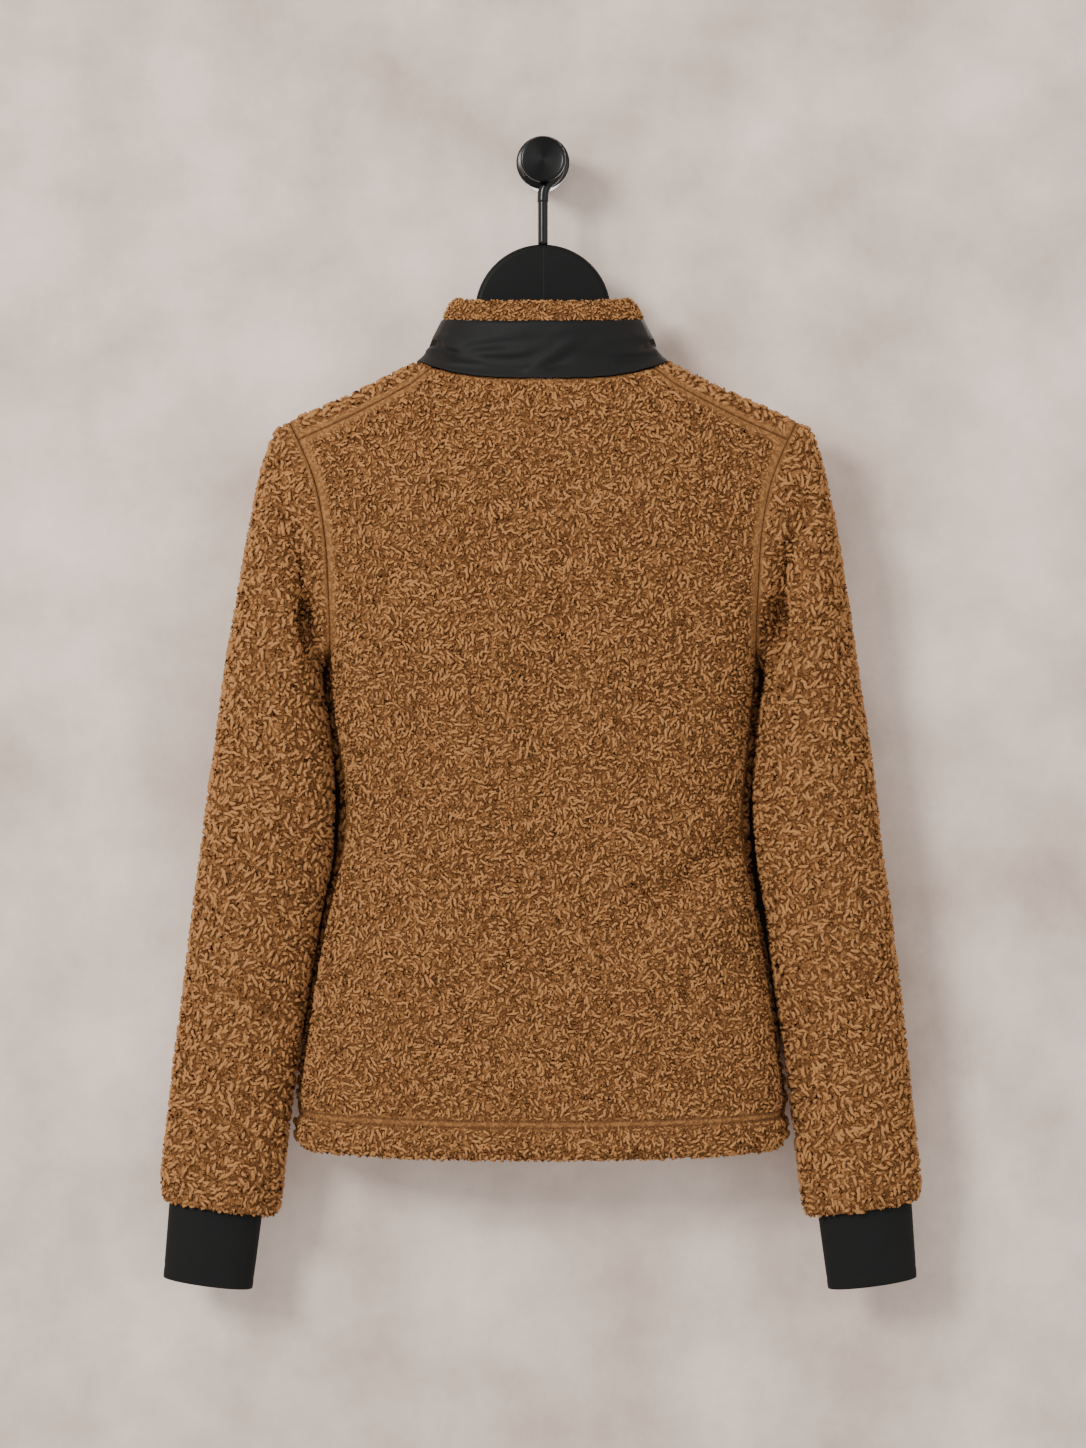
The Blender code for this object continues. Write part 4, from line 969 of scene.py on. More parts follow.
def curls(names, skin, size, seed, material):
    """Pile as short curled yarns, each a three-sided tube on a bent line that rises from the cloth
    and dips back into it. size scales length, width and spacing alike.

    The line's heading is a sum of sines of its place, so neighbours run side by side, plus a
    constant of its own and a hook at some ends. The lines are then pushed apart. Each name gets an
    equal run of the skin's columns.
    """
    rng = np.random.default_rng(seed)
    spots = spread_spots(skin, CURL_AREA * size**2)
    count = len(spots)
    up = unit(skin.at(spots, 1))
    first = unit(np.cross(up, [0.0, 0.35, 1.0]))
    second = np.cross(up, first)
    step = (CURL_LENGTH * size * rng.uniform(*CURL_LENGTHS, count) / (CURL_POINTS - 1))[:, None]
    own_turn = rng.normal(0, CURL_WANDER, count)
    hook = (rng.random(count) < HOOKED) * rng.choice((-1, 1), count) * rng.uniform(*HOOK_BENDS, count)
    line = [skin.at(spots, 0)]
    for k in range(CURL_POINTS - 1):
        angle = own_turn + hook * max(k - 2, 0)
        for wave, shift, amount in FLOW_WAVES:
            angle = angle + amount * np.sin(line[-1] @ np.array(wave) / size + shift)
        heading = np.cos(angle)[:, None] * first + np.sin(angle)[:, None] * second
        line.append(line[-1] + step * heading)
    moves = np.stack(line, axis=1)
    moves = moves - moves.mean(axis=1, keepdims=True)
    spots = np.repeat(spots[:, None], CURL_POINTS, axis=1)
    place = skin.fitted(spots + skin.steps(spots, moves))
    owner = np.repeat(np.arange(count), CURL_POINTS)
    for _ in range(PUSH_ROUNDS):
        points = skin.at(place, 0)
        push = crowd_push(points.reshape(-1, 3), owner, CURL_APART * size).reshape(points.shape)
        push = (np.roll(push, 1, axis=1) + push + np.roll(push, -1, axis=1)) / 3
        push = PUSH_OWN * push + (1 - PUSH_OWN) * push.mean(axis=1, keepdims=True)
        place = skin.fitted(place + skin.steps(place, push * PUSH_SHARE))

    upright = skin.at(place, 2)[..., 0].mean(axis=1) > STANDING
    place, count = place[upright], int(upright.sum())
    points, up = skin.at(place, 0), unit(skin.at(place, 1))
    stand = skin.at(place, 2)[..., 0]
    share = np.linspace(0, 1, CURL_POINTS)
    rise = np.sin(math.pi * share) ** 0.4
    height = rng.uniform(*CURL_HEIGHTS, count)[:, None] * CURL_RISE * rise - CURL_SINK * (1 - rise)
    height = height * stand - CURL_PRESSED * (1 - stand)
    centre = points + up * height[..., None]
    along = unit(np.gradient(centre, axis=1))
    side = unit(np.cross(along, up))
    thick = CURL_RADIUS * size * rng.uniform(*CURL_THICKS, count)[:, None, None]
    thick = thick * (0.3 + 0.7 * stand[..., None]) * (0.65 + 0.35 * rise)[None, :, None]
    ring = slice(1, -1)
    corners = np.stack(
        [
            centre + up * thick * CORNER_UP,
            centre + side * thick - up * thick * CORNER_DOWN,
            centre - side * thick - up * thick * CORNER_DOWN,
        ],
        axis=2,
    )[:, ring]
    rings = CURL_POINTS - 2
    each = rings * 3 + 2
    poles = centre[:, [0, -1]] - up[:, [0, -1]] * thick[:, [0, -1]] * 0.4
    verts = np.concatenate([corners.reshape(count, -1, 3), poles], axis=1)
    quads, quad_low = [], []
    for r in range(rings - 1):
        for k in range(3):
            k2 = (k + 1) % 3
            quads.append((r * 3 + k, r * 3 + k2, (r + 1) * 3 + k2, (r + 1) * 3 + k))
            quad_low.append(k == 1)
    end = (rings - 1) * 3
    triangles = [((k + 1) % 3, k, rings * 3) for k in range(3)]
    triangles += [(end + k, end + (k + 1) % 3, rings * 3 + 1) for k in range(3)]
    tri_low = [k == 1 for k in range(3)] * 2
    quads, triangles = np.array(quads), np.array(triangles)
    if not outward(verts[0] - verts[0].mean(0), quads, triangles):
        quads, triangles = quads[:, ::-1], triangles[:, ::-1]
    flat = np.concatenate([np.repeat(place[:, ring], 3, axis=1), place[:, [0, -1]]], axis=1)
    flat = flat / np.array([skin.rows, skin.columns])
    # Painted light and shade: 1 along each curl's top, 0 at its foot, and lower curls a little darker
    tone = np.tile([1.0, 0.0, 0.0] * rings + [0.0, 0.0], (count, 1))
    tone *= (0.75 + 0.25 * np.clip(height / CURL_RISE, 0, 1).mean(1))[:, None]
    tint = np.repeat(rng.normal(0, 1, (count, 1)), each, axis=1)
    share_of = (place[:, CURL_POINTS // 2, 1] / skin.columns * len(names)).astype(int)
    made = []
    for number, name in enumerate(names):
        own = share_of == number
        base = np.arange(own.sum())[:, None, None] * each
        uv_parts = []
        for faces, low in ((quads, quad_low), (triangles, tri_low)):
            at = flat[own][:, faces]
            fold = (at[..., 1].max(-1) - at[..., 1].min(-1) > 0.5)[..., None]
            v = np.where(fold & (at[..., 1] < 0.5), at[..., 1] + 1, at[..., 1])
            under = np.array(low)[None, :, None]
            u = np.where(under, 1 - UNDER_WIDE * (1 - at[..., 0]), TOP_WIDE * at[..., 0])
            uv_parts.append(np.stack([v, u], -1).reshape(-1, 2))
        faces = [(part[None] + base).reshape(-1, part.shape[1]) for part in (quads, triangles)]
        thing = mesh_from(name, verts[own].reshape(-1, 3), *faces, [material], np.concatenate(uv_parts))
        carry(thing, tone=tone[own], tint=tint[own])
        made.append(thing)
    return made


class Value:
    """A shader socket in sums: + - * / and powers add Math nodes to its material."""

    def __init__(self, finish, socket):
        self.finish, self.socket = finish, socket

    def done(self, operation, *values):
        return self.finish.node("ShaderNodeMath", {"operation": operation}, dict(enumerate(values)))

    def __add__(self, other):
        return self.done("ADD", self, other)

    def __sub__(self, other):
        return self.done("SUBTRACT", self, other)

    def __mul__(self, other):
        return self.done("MULTIPLY", self, other)

    def __truediv__(self, other):
        return self.done("DIVIDE", self, other)

    def __pow__(self, other):
        return self.done("POWER", self, other)

    def __rsub__(self, other):
        return self.done("SUBTRACT", other, self)

    __radd__, __rmul__ = __add__, __mul__

    def clipped(self, low=0.0, high=1.0):
        """This value brought between two limits."""
        return self.done("MINIMUM", self.done("MAXIMUM", self, low), high)

    def bell(self, middle, wide):
        """1 at middle, falling to 0 at wide either side."""
        return (1.0 - self.done("ABSOLUTE", self - middle) / wide).clipped()


class Finish:
    """A material built from its Principled shader, with constants set on its own sockets."""

    def __init__(self, name, roughness, metallic=0.0, **constants):
        self.material = bpy.data.materials.new(name)
        self.material.use_nodes = True
        self.tree = self.material.node_tree
        self.shader = self.tree.nodes["Principled BSDF"]
        self.put(self.shader, {"Roughness": roughness, "Metallic": metallic})
        self.put(self.shader, {k.replace("_", " "): v for k, v in constants.items()})

    def put(self, node, inputs):
        """Sets or links a node's inputs."""
        for key, value in inputs.items():
            if isinstance(value, Value):
                self.tree.links.new(value.socket, node.inputs[key])
            else:
                node.inputs[key].default_value = value

    def node(self, kind, settings=None, inputs=None, output=0):
        """Adds a node: its settings first, then its inputs. Returns one output."""
        made = self.tree.nodes.new(kind)
        for key, value in (settings or {}).items():
            setattr(made, key, value)
        self.put(made, inputs or {})
        return Value(self, made.outputs[output])

    def place(self, turn=(0, 0, 0)):
        """The piece's own coordinates, in metres, turned about its origin."""
        own = self.node("ShaderNodeTexCoord", output="Object")
        return self.node("ShaderNodeMapping", inputs={"Vector": own, "Rotation": turn})

    def part(self, vector, axis):
        """One coordinate of a vector."""
        return self.node("ShaderNodeSeparateXYZ", inputs={"Vector": vector}, output=axis)

    def noise(self, vector, scale, detail=2.0, rough=0.5):
        """Noise around a half."""
        inputs = {"Vector": vector, "Scale": scale, "Detail": detail, "Roughness": rough}
        return self.node("ShaderNodeTexNoise", inputs=inputs)

    def wave(self, vector, axis, scale, distortion, detail, detail_scale=1.0):
        """Even bands across one axis, bent by noise."""
        inputs = {
            "Vector": vector, "Scale": scale, "Distortion": distortion, "Detail": detail,
            "Detail Scale": detail_scale,
        }
        return self.node("ShaderNodeTexWave", {"bands_direction": axis}, inputs)

    def winding(self, vector):
        """Fine winding ridges: the sine of two noises added, which follows their level lines."""
        wide, small = self.noise(vector, 110.0, 1.0), self.noise(vector, 270.0, 1.0)
        return wide.done("SINE", wide * 24.0 + small * 11.0) * 0.5 + 0.5

    def attribute(self, name):
        """A number that the piece's mesh carries at its points."""
        return self.node("ShaderNodeAttribute", {"attribute_name": name}, output="Fac")

    def mix(self, share, first, second):
        """A colour between two."""
        first, second = (c if isinstance(c, Value) else (*c, 1) for c in (first, second))
        return self.node("ShaderNodeMix", {"data_type": "RGBA"}, {0: share, 6: first, 7: second}, 2)

    def bump(self, height, distance, strength=1.0, under=None):
        """Bumps of a height, distance metres high where the height is 1."""
        inputs = {"Height": height, "Distance": distance, "Strength": strength}
        if under is not None:
            inputs["Normal"] = under
        return self.node("ShaderNodeBump", inputs=inputs)

    def finish(self, colour=None, roughness=None, normal=None):
        """Links what varies and gives the material."""
        varied = {"Base Color": colour, "Roughness": roughness, "Normal": normal}
        self.put(self.shader, {k: v for k, v in varied.items() if v is not None})
        return self.material


def linear(red, green, blue):
    """An sRGB colour, 0 to 255, as linear light."""
    return tuple(
        v / 12.92 if v <= 0.04045 else ((v + 0.055) / 1.055) ** 2.4
        for v in (red / 255, green / 255, blue / 255)
    )


def pile_finish(name, light, dark):
    """Curled yarn: painted shade at its foot and in hollows, painted light on top, each curl a little
    its own colour, fine fibres.
    """
    made = Finish(name, 0.9, Specular_IOR_Level=0.08)
    own = made.place()
    tone, tint = made.attribute("tone"), made.attribute("tint")
    broad = made.noise(own, 14.0, 3.0) - 0.5
    fibre = made.noise(own, 1500.0, 3.0, 0.6)
    winding = made.winding(own)
    # Painted shade and light: dark at each curl's foot and in the winding's hollows, light on its top;
    # tint and broad noise are the yarn's own
    share = tone * 2.1 - 0.2 + tint * 0.05 + broad * 0.25 + (fibre - 0.5) * 0.35 + winding * 0.1
    colour = made.mix(share.clipped(), dark, light)
    return made.finish(colour, normal=made.bump(winding + fibre * 0.5, 0.0005, 0.9))


def ground_finish(name, light, dark, flat):
    """The cloth between the curls: winding ridges of short pile, smooth where seams press it flat;
    painted shade in the ridges' hollows and in the seams' and stitch lines' grooves.
    """
    made = Finish(name, 1.0, Specular_IOR_Level=0.06)
    own = made.place()
    winding = made.winding(own)
    fibre = made.noise(own, 1500.0, 3.0, 0.6)
    press, line = made.attribute("pressed"), made.attribute("stitched")
    open_pile = 1.0 - press
    # Painted shade: the winding's hollows darker than its ridges
    share = (winding * 0.85 + (fibre - 0.5) * 0.5 + 0.1).clipped()
    lay = (fibre * 0.5 + winding * 0.4 + 0.25).clipped()
    colour = made.mix(press, made.mix(share, dark, light), made.mix(lay, dark, flat))
    # Painted shadow in the grooves along the seams and the hem's stitch lines
    colour = made.mix(line * 0.75, colour, dark)
    height = winding * (open_pile * 0.45 + 0.55) + fibre * 0.4
    return made.finish(colour, normal=made.bump(height, 0.0009))


def backing_finish(name, light, dark):
    """The brushed knit on the cloth's inner side: columns of fine stitches under a short nap."""
    made = Finish(name, 0.95, Sheen_Weight=0.15, Sheen_Roughness=0.5)
    own = made.place()
    knit = made.wave(own, "X", 130.0, 2.0, 2.0, 3.0)
    nap = made.noise(own, 900.0, 3.0)
    colour = made.mix((knit * 0.5 + nap * 0.5).clipped(), dark, light)
    return made.finish(colour, normal=made.bump(knit * 0.5 + nap, 0.0004))


def woven_finish(name, light, dark):
    """Fine nylon twill: close slanting lines, with a soft unevenness in shade and gloss."""
    made = Finish(name, 0.5, Specular_IOR_Level=0.18)
    slanted = made.place(turn=(0, math.radians(38), 0))
    twill = made.wave(slanted, "X", 420.0, 0.6, 1.0)
    own = made.place()
    patch = made.noise(own, 34.0, 3.0)
    thread = made.noise(own, 1400.0, 2.0)
    colour = made.mix((twill * 0.35 + patch * 0.65 + (thread - 0.5) * 0.3).clipped(), dark, light)
    rough = patch * 0.25 + 0.42
    normal = made.bump(patch, 0.0012, 0.5, made.bump(twill + thread * 0.5, 0.00012, 0.7))
    return made.finish(colour, rough, normal)


def jersey_finish(name, light, dark):
    """Fine stretch jersey: upright columns of stitches too small to count, matt with a faint nap."""
    made = Finish(name, 0.8, Specular_IOR_Level=0.12, Sheen_Weight=0.01, Sheen_Roughness=0.45)
    own = made.place()
    wales = made.wave(own, "X", 360.0, 0.8, 1.0)
    courses = made.wave(own, "Z", 480.0, 0.8, 1.0)
    patch = made.noise(own, 60.0, 3.0)
    stitch = wales * 0.6 + courses * 0.4
    colour = made.mix((patch * 0.7 + stitch * 0.3).clipped(), dark, light)
    return made.finish(colour, patch * 0.12 + 0.74, made.bump(stitch + patch, 0.00015, 0.8))


def plain_finish(name, light, dark, roughness, metallic=0.0, grain=900.0, height=0.00005, shine=0.5):
    """Paint, plastic or thread: a fine even grain with slight changes of shade and gloss."""
    made = Finish(name, roughness, metallic, Specular_IOR_Level=shine)
    own = made.place()
    grains = made.noise(own, grain, 3.0)
    patch = made.noise(own, 25.0, 3.0)
    colour = made.mix((patch * 0.7 + grains * 0.3).clipped(), dark, light)
    rough = (patch - 0.5) * 0.14 + roughness
    return made.finish(colour, rough, made.bump(grains, height))


def hanger_finish(name, light, dark):
    """Satin moulded hanger with a faint upright line down the middle of its dome."""
    made = Finish(name, 0.5, Specular_IOR_Level=0.12)
    own = made.place()
    line = made.part(own, 0).bell(0.0, 0.0009)
    grains = made.noise(own, 700.0, 3.0)
    patch = made.noise(own, 22.0, 3.0)
    colour = made.mix((patch * 0.8 + line * 0.3).clipped(), dark, light)
    normal = made.bump(line, -0.00012, 1.0, made.bump(grains, 0.00006))
    return made.finish(colour, (patch - 0.5) * 0.12 + 0.5, normal)


def turned_finish(name, light, dark):
    """Turned and blackened metal: fine rings about the knob's axis, with a painted highlight of lighter
    and darker sectors round it.
    """
    made = Finish(name, 0.3, 0.75)
    own = made.place()
    x, z = made.part(own, 0), made.part(own, 2)
    from_axis = (x * x + z * z) ** 0.5
    ring = made.node("ShaderNodeCombineXYZ", inputs={0: from_axis})
    lines = made.noise(ring, 3200.0, 2.0, 0.6)
    patch = made.noise(own, 60.0, 2.0)
    # Painted highlight: the colour lighter or darker by the angle round the axis, as light falls on
    # brushed rings
    painted_cone_highlight = (x * x - z * z - x * z * 1.2) / (from_axis * from_axis + 1e-7)
    colour = made.mix((lines * 0.5 + patch * 0.2 + painted_cone_highlight * 0.3 + 0.1).clipped(), dark, light)
    return made.finish(colour, lines * 0.1 + 0.2, made.bump(lines, 0.00002))


# Painted shadow on the wall behind the gaps beside the body: a band that leans out as it runs down
GAP_AT = 0.172
GAP_BEND = -0.56
GAP_SLANT = 0.19
GAP_HALF = 0.020
GAP_SOFT = 0.012
GAP_MIDDLE = -0.55
GAP_TALL = 0.18
GAP_FADE = 0.03
GAP_PAINTED_SHADE = 0.97


def wall_finish(name, light, dark):
    """Pale mottled plaster behind the object, with a painted shadow behind the gaps beside the body,
    clear from its own back so the fronts can be seen.
    """
    made = Finish(name, 0.9)
    own = made.place()
    x, z = made.part(own, 0), made.part(own, 2)
    line = ((GAP_BEND - z) * GAP_SLANT).clipped() + GAP_AT
    off = x.done("ABSOLUTE", x.done("ABSOLUTE", x) - line)
    beside = ((GAP_HALF - off) / GAP_SOFT + 1.0).clipped()
    beside = beside * ((GAP_TALL - z.done("ABSOLUTE", z - GAP_MIDDLE)) / GAP_FADE).clipped()
    cloud = made.noise(own, 2.4, 4.0, 0.55)
    spots = made.noise(own, 9.0, 5.0, 0.6)
    grit = made.noise(own, 160.0, 4.0, 0.6)
    share = ((cloud - 0.5) * 1.7 + (spots - 0.5) * 1.7 + 0.5 + (grit - 0.5) * 0.15).clipped()
    # Painted shadow: the plaster turned nearly black in the band behind each gap
    colour = made.mix(beside * GAP_PAINTED_SHADE, made.mix(share, dark, light), (0.0, 0.0, 0.0))
    normal = made.bump(spots, 0.004, 0.35, made.bump(grit, 0.0006, 0.5))
    made.finish(colour, normal=normal)
    behind = made.node("ShaderNodeNewGeometry", output="Backfacing")
    clear = made.node("ShaderNodeBsdfTransparent")
    shown = made.node(
        "ShaderNodeMixShader", inputs={0: behind, 1: Value(made, made.shader.outputs[0]), 2: clear}
    )
    made.put(made.tree.nodes["Material Output"], {"Surface": shown})
    return made.material


# Pile colours at each curl's top and foot: the step between them is painted light and shade
PILE_LIT_TOP, PILE_SHADED_FOOT = linear(176, 125, 78), linear(100, 63, 35)
pile = pile_finish("fleece_pile", PILE_LIT_TOP, PILE_SHADED_FOOT)
# The ground's colours are darker than the pile's: painted shade between and under the curls
ground = ground_finish("fleece_ground", linear(146, 100, 61), linear(84, 53, 30), linear(166, 117, 72))
backing = backing_finish("fleece_backing", linear(150, 104, 64), linear(118, 78, 46))
woven = woven_finish("woven_nylon", linear(24, 24, 24), linear(14, 14, 14))
jersey = jersey_finish("stretch_jersey", linear(29, 29, 29), linear(20, 20, 20))
tape = woven_finish("zip_tape", linear(44, 44, 45), linear(30, 30, 31))
coil_paint = plain_finish("zip_coil", linear(46, 46, 47), linear(30, 30, 31), 0.35)
metal_paint = plain_finish("painted_metal", linear(48, 48, 49), linear(34, 34, 35), 0.32, 0.6)
satin = hanger_finish("satin_black", linear(23, 23, 23), linear(14, 14, 14))
gloss = plain_finish(
    "gloss_black", linear(20, 20, 21), linear(12, 12, 13), 0.24, grain=60.0, height=0.00001, shine=0.3
)
turned = turned_finish("turned_black", linear(44, 44, 44), linear(14, 14, 14))
thread = plain_finish("brown_thread", linear(150, 104, 68), linear(104, 68, 42), 0.7, grain=2500.0)


# The jacket: its body, how full each shoulder stands, its panels, and the size of each pile's curls
MAIN = "jacket_on_hanger"
SHOULDER_END = (0.208, HANG_Y, -0.197)
PUFF = 0.0045
PUFF_REACH = 0.034
PUFF_WAY = (0.65, 0.76)
PANEL_NAMES = ("front_left", "front_right", "back_left", "back_right")
BACK_CURLS, FRONT_CURLS, SLEEVE_CURLS, ROLL_CURLS = 0.885, 1.26, 1.12, 0.66
FIRST_SEED = 100


def keep(piece, slot, *nodes):
    """Puts a piece on the jacket's body and hides the nodes that it stands for; slot is not used."""
    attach(piece, MAIN)
    if nodes:
        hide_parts(*nodes)


def puffed(points):
    """Points near a shoulder's end moved up and out, where the sleeve's head stands full: PUFF times
    a bell of the distance from that end."""
    mirrored = np.concatenate([np.abs(points[..., :1]), points[..., 1:]], axis=-1)
    push = PUFF * np.exp(-((mirrored - SHOULDER_END) ** 2).sum(-1) / PUFF_REACH**2)
    side = np.sign(points[..., :1]) * (1, 0, 0)
    way = side * PUFF_WAY[0] + np.array([0, 0, PUFF_WAY[1]])
    return points + way * push[..., None]


def edge_distance(points, seams, neck=1.0):
    """Distance of each grid point from the nearest of the named edges, along rows or columns, times
    neck from the neck's part of the upper edge."""
    rows = np.linalg.norm(np.diff(points, axis=0), axis=-1)
    columns = np.linalg.norm(np.diff(points, axis=1), axis=-1)
    from_low = np.concatenate([np.zeros((1, points.shape[1])), np.cumsum(rows, axis=0)])
    from_left = np.concatenate([np.zeros((points.shape[0], 1)), np.cumsum(columns, axis=1)], axis=1)
    found = {
        "low": from_low,
        "high": (from_low[-1:] - from_low) * np.where(np.abs(points[-1, :, 0]) < NECK_SOFT, neck, 1),
        "left": from_left,
        "right": from_left[:, -1:] - from_left,
    }
    return np.minimum.reduce([found[s] for s in seams])


# Seams: the strips beside them, how far the pile stands there, and how the neck and sleeve differ.
# Hem: how the cloth between its rows of stitches is pressed, and the rows' own width in millimetres.
SEAM_STRIP = ((0.0014, 0.0020), (0.0048, 0.0034))
STRIP_STAND = 0.42
SEAM_LINE = 0.0011
NECK_FAR, SLEEVE_FAR = 2.6, 2.2
HEM_PRESS, HEM_WIDE = 0.64, 3.6
STITCH_LINE = 0.9


def seam_press(distance):
    """1 at a seam's stitching, lower in the strip beside it, falling to 0 where pile stands up."""
    near, past = (np.clip((distance - at) / wide, 0, 1) for at, wide in SEAM_STRIP)
    rise = [share * share * (3 - 2 * share) for share in (near, past)]
    return 1 - STRIP_STAND * rise[0] - (1 - STRIP_STAND) * rise[1]


def seam_groove(distance):
    """1 at a seam's own line, 0 beside it."""
    return np.exp(-((distance / SEAM_LINE) ** 2))


def below_face(press, groove):
    """How far the cloth lies below its outline: by the pile's height, less where it is pressed."""
    return PILE * (1 - press) + PRESSED * press + GROOVE * groove


def hem_height(rows):
    """Height above the hem's edge of each of a panel's rows, in millimetres, far up for the rest."""
    return np.concatenate([HEM_ROWS, np.full(rows - len(HEM_ROWS), 200.0)])


INNER_ROWS = 4
STITCH_STEP = 0.0034
STITCH_HALF = 0.0014
STITCH_WIDE = 0.0004
STITCH_HIGH = 0.0005


def stitches(name, lines, material):
    """Rows of stitches, each a bead of eight faces longest along its line, one every STITCH_STEP.

    A line is its points and the directions that it faces.
    """
    beads = []
    for points, normals in lines:
        run = np.concatenate([[0], np.cumsum(np.linalg.norm(np.diff(points, axis=0), axis=1))])
        at = np.arange(STITCH_STEP / 2, run[-1], STITCH_STEP)
        middle, up, ahead = (
            np.stack([np.interp(at, run, v[:, i]) for i in range(3)], -1)
            for v in (points, normals, np.gradient(points, axis=0))
        )
        up, ahead = unit(up), unit(ahead)
        side = np.cross(ahead, up) * STITCH_WIDE
        ahead, up = ahead * STITCH_HALF, up * STITCH_HIGH
        beads.append(np.stack([ahead, side, -ahead, -side, up, -up], 1) + middle[:, None])
    beads = np.concatenate(beads)
    faces = [(k, (k + 1) % 4, 4) for k in range(4)] + [((k + 1) % 4, k, 5) for k in range(4)]
    faces = np.array(faces)
    if not outward(beads[0] - beads[0].mean(0), [], faces):
        faces = faces[:, ::-1]
    count = len(beads)
    flat = np.array([(0, 0.5), (0.5, 0), (1, 0.5), (0.5, 1), (0.5, 0.5), (0.5, 0.5)])
    flat = flat[faces] * (0.9, 0.48)
    flat[4:, :, 1] += 0.5
    uv = flat[None] + np.stack([np.arange(count), np.zeros(count)], -1)[:, None, None]
    triangles = faces[None] + 6 * np.arange(count)[:, None, None]
    uv = uv.reshape(-1, 2) / (count, 1)
    return mesh_from(name, beads.reshape(-1, 3), [], triangles, [material], uv)


def cloth_piece(name, points, normals, thick, press, groove, around, node, hem_rows=()):
    """A fleece piece, its lower edge rounded. Gives the skin for its pile, which is the outer side,
    the edge and a few rows inside it, how far pile stands up there, and its lines of stitches."""
    points = puffed(points)
    outside = points - normals * below_face(press, groove)[..., None]
    inside = points - normals * thick[..., None]
    grid = rounded_wall(outside, inside)
    piece = loop_shell(name, grid, around, [ground, backing], rows_of_back=len(inside))
    start = len(grid) - len(points)
    # The second label marks the seam and stitch grooves, where the ground's colour is darkened as
    # painted shadow
    labels = {"pressed": press, "stitched": groove}
    for label, values in labels.items():
        carry(piece, **{label: np.concatenate([np.zeros((start, values.shape[1])), values])})
    keep(piece, "fleece", node)
    first = len(inside) - INNER_ROWS
    stand = np.concatenate([np.ones((start - first, press.shape[1])), 1 - np.maximum(press, groove)])
    hem_lines = [(outside[row] + normals[row] * STITCH_HIGH, normals[row]) for row in hem_rows]
    return grid[first:], stand, hem_lines


def pile_skin(name, grid, stand):
    """The skin for a piece's pile, its cells evened and its directions pointing off the cloth."""
    around = name.startswith("sleeve")
    grid, stand = evened((grid, stand), 0, PILE_STEP)
    if not around:
        grid, stand = evened((grid, stand), 1, PILE_STEP)
    skin = Skin(grid, stand, around)
    points, normals, lift = skin.grids
    if name.startswith("collar"):
        off = grid - grid.mean(axis=0, keepdims=True)
    elif around:
        off = grid - grid.mean(axis=1, keepdims=True)
    else:
        off = np.broadcast_to([0, -1 if name.startswith("back") else 1, 0], grid.shape)
    sign = np.sign((normals[:, : grid.shape[1]] * off).sum(-1).mean())
    skin.grids = (points, normals * sign, lift)
    return skin


def panel_piece(name, points, normals, thick, seams, node):
    """Cloth of a front or the back, with its seams and its hem, sewn with two rows of stitches,
    pressed.
    """
    grids = closer((points, normals, thick), 1, "left" in seams, "right" in seams)
    points, normals, thick = closer(grids, 0, high=True)
    far = edge_distance(points, seams, NECK_FAR)
    above = hem_height(len(points))[:, None]
    between = HEM_PRESS * np.exp(-(((above - np.mean(STITCH_LINES)) / HEM_WIDE) ** 4))
    press = np.maximum(seam_press(far), between)
    groove = seam_groove(far) + sum(swell(above, at, STITCH_LINE, 1) for at in STITCH_LINES)
    return cloth_piece(
        name, points, normals, thick, press, np.minimum(groove, 1), False, node,
        [HEM_ROWS.index(at) for at in STITCH_LINES],
    )


panels = {
    name: Panel(name.startswith("front"), name.endswith("right")) for name in PANEL_NAMES
}
loops = {
    side: armhole(panels["back_" + side], panels["front_" + side]) for side in ("left", "right")
}

skins = {}
hem_lines = []
for side in ("left", "right"):
    front = panels["front_" + side]
    name = "front_" + side
    grid, stand, lines = panel_piece(
        name + "_cloth", front.point, front.normal, front.thick, ("high", "left", "right"), name
    )
    skins[name + "_pile"] = (grid, stand, FRONT_CURLS)
    hem_lines += lines

left, right = panels["back_left"], panels["back_right"]
whole = [
    np.concatenate([getattr(left, what)[:, ::-1], getattr(right, what)[:, 1:]], axis=1)
    for what in ("point", "normal", "thick")
]
grid, stand, lines = panel_piece("back_cloth", *whole, ("high", "left", "right"), "back")
keep(stitches("hem_stitches", hem_lines + lines, thread), "fleece")
skins["back_left_pile back_right_pile"] = (grid, stand, BACK_CURLS)

for side, right_side in (("left", False), ("right", True)):
    loop, away = loops[side]
    points, normals = closer(sleeve_rings(right_side, loop, away), 0, high=True)
    far = edge_distance(points, ("high",))
    grid, stand, _ = cloth_piece(
        "sleeve_" + side + "_cloth", points, normals, np.full(far.shape, FLEECE),
        seam_press(far * SLEEVE_FAR), seam_groove(far), True, "sleeve_" + side,
    )
    skins["sleeve_" + side + "_pile"] = (grid, stand, SLEEVE_CURLS)

    piece = loop_shell("cuff_" + side + "_cloth", cuff_wall(right_side), True, [jersey])
    keep(piece, "jersey", "cuff_" + side)

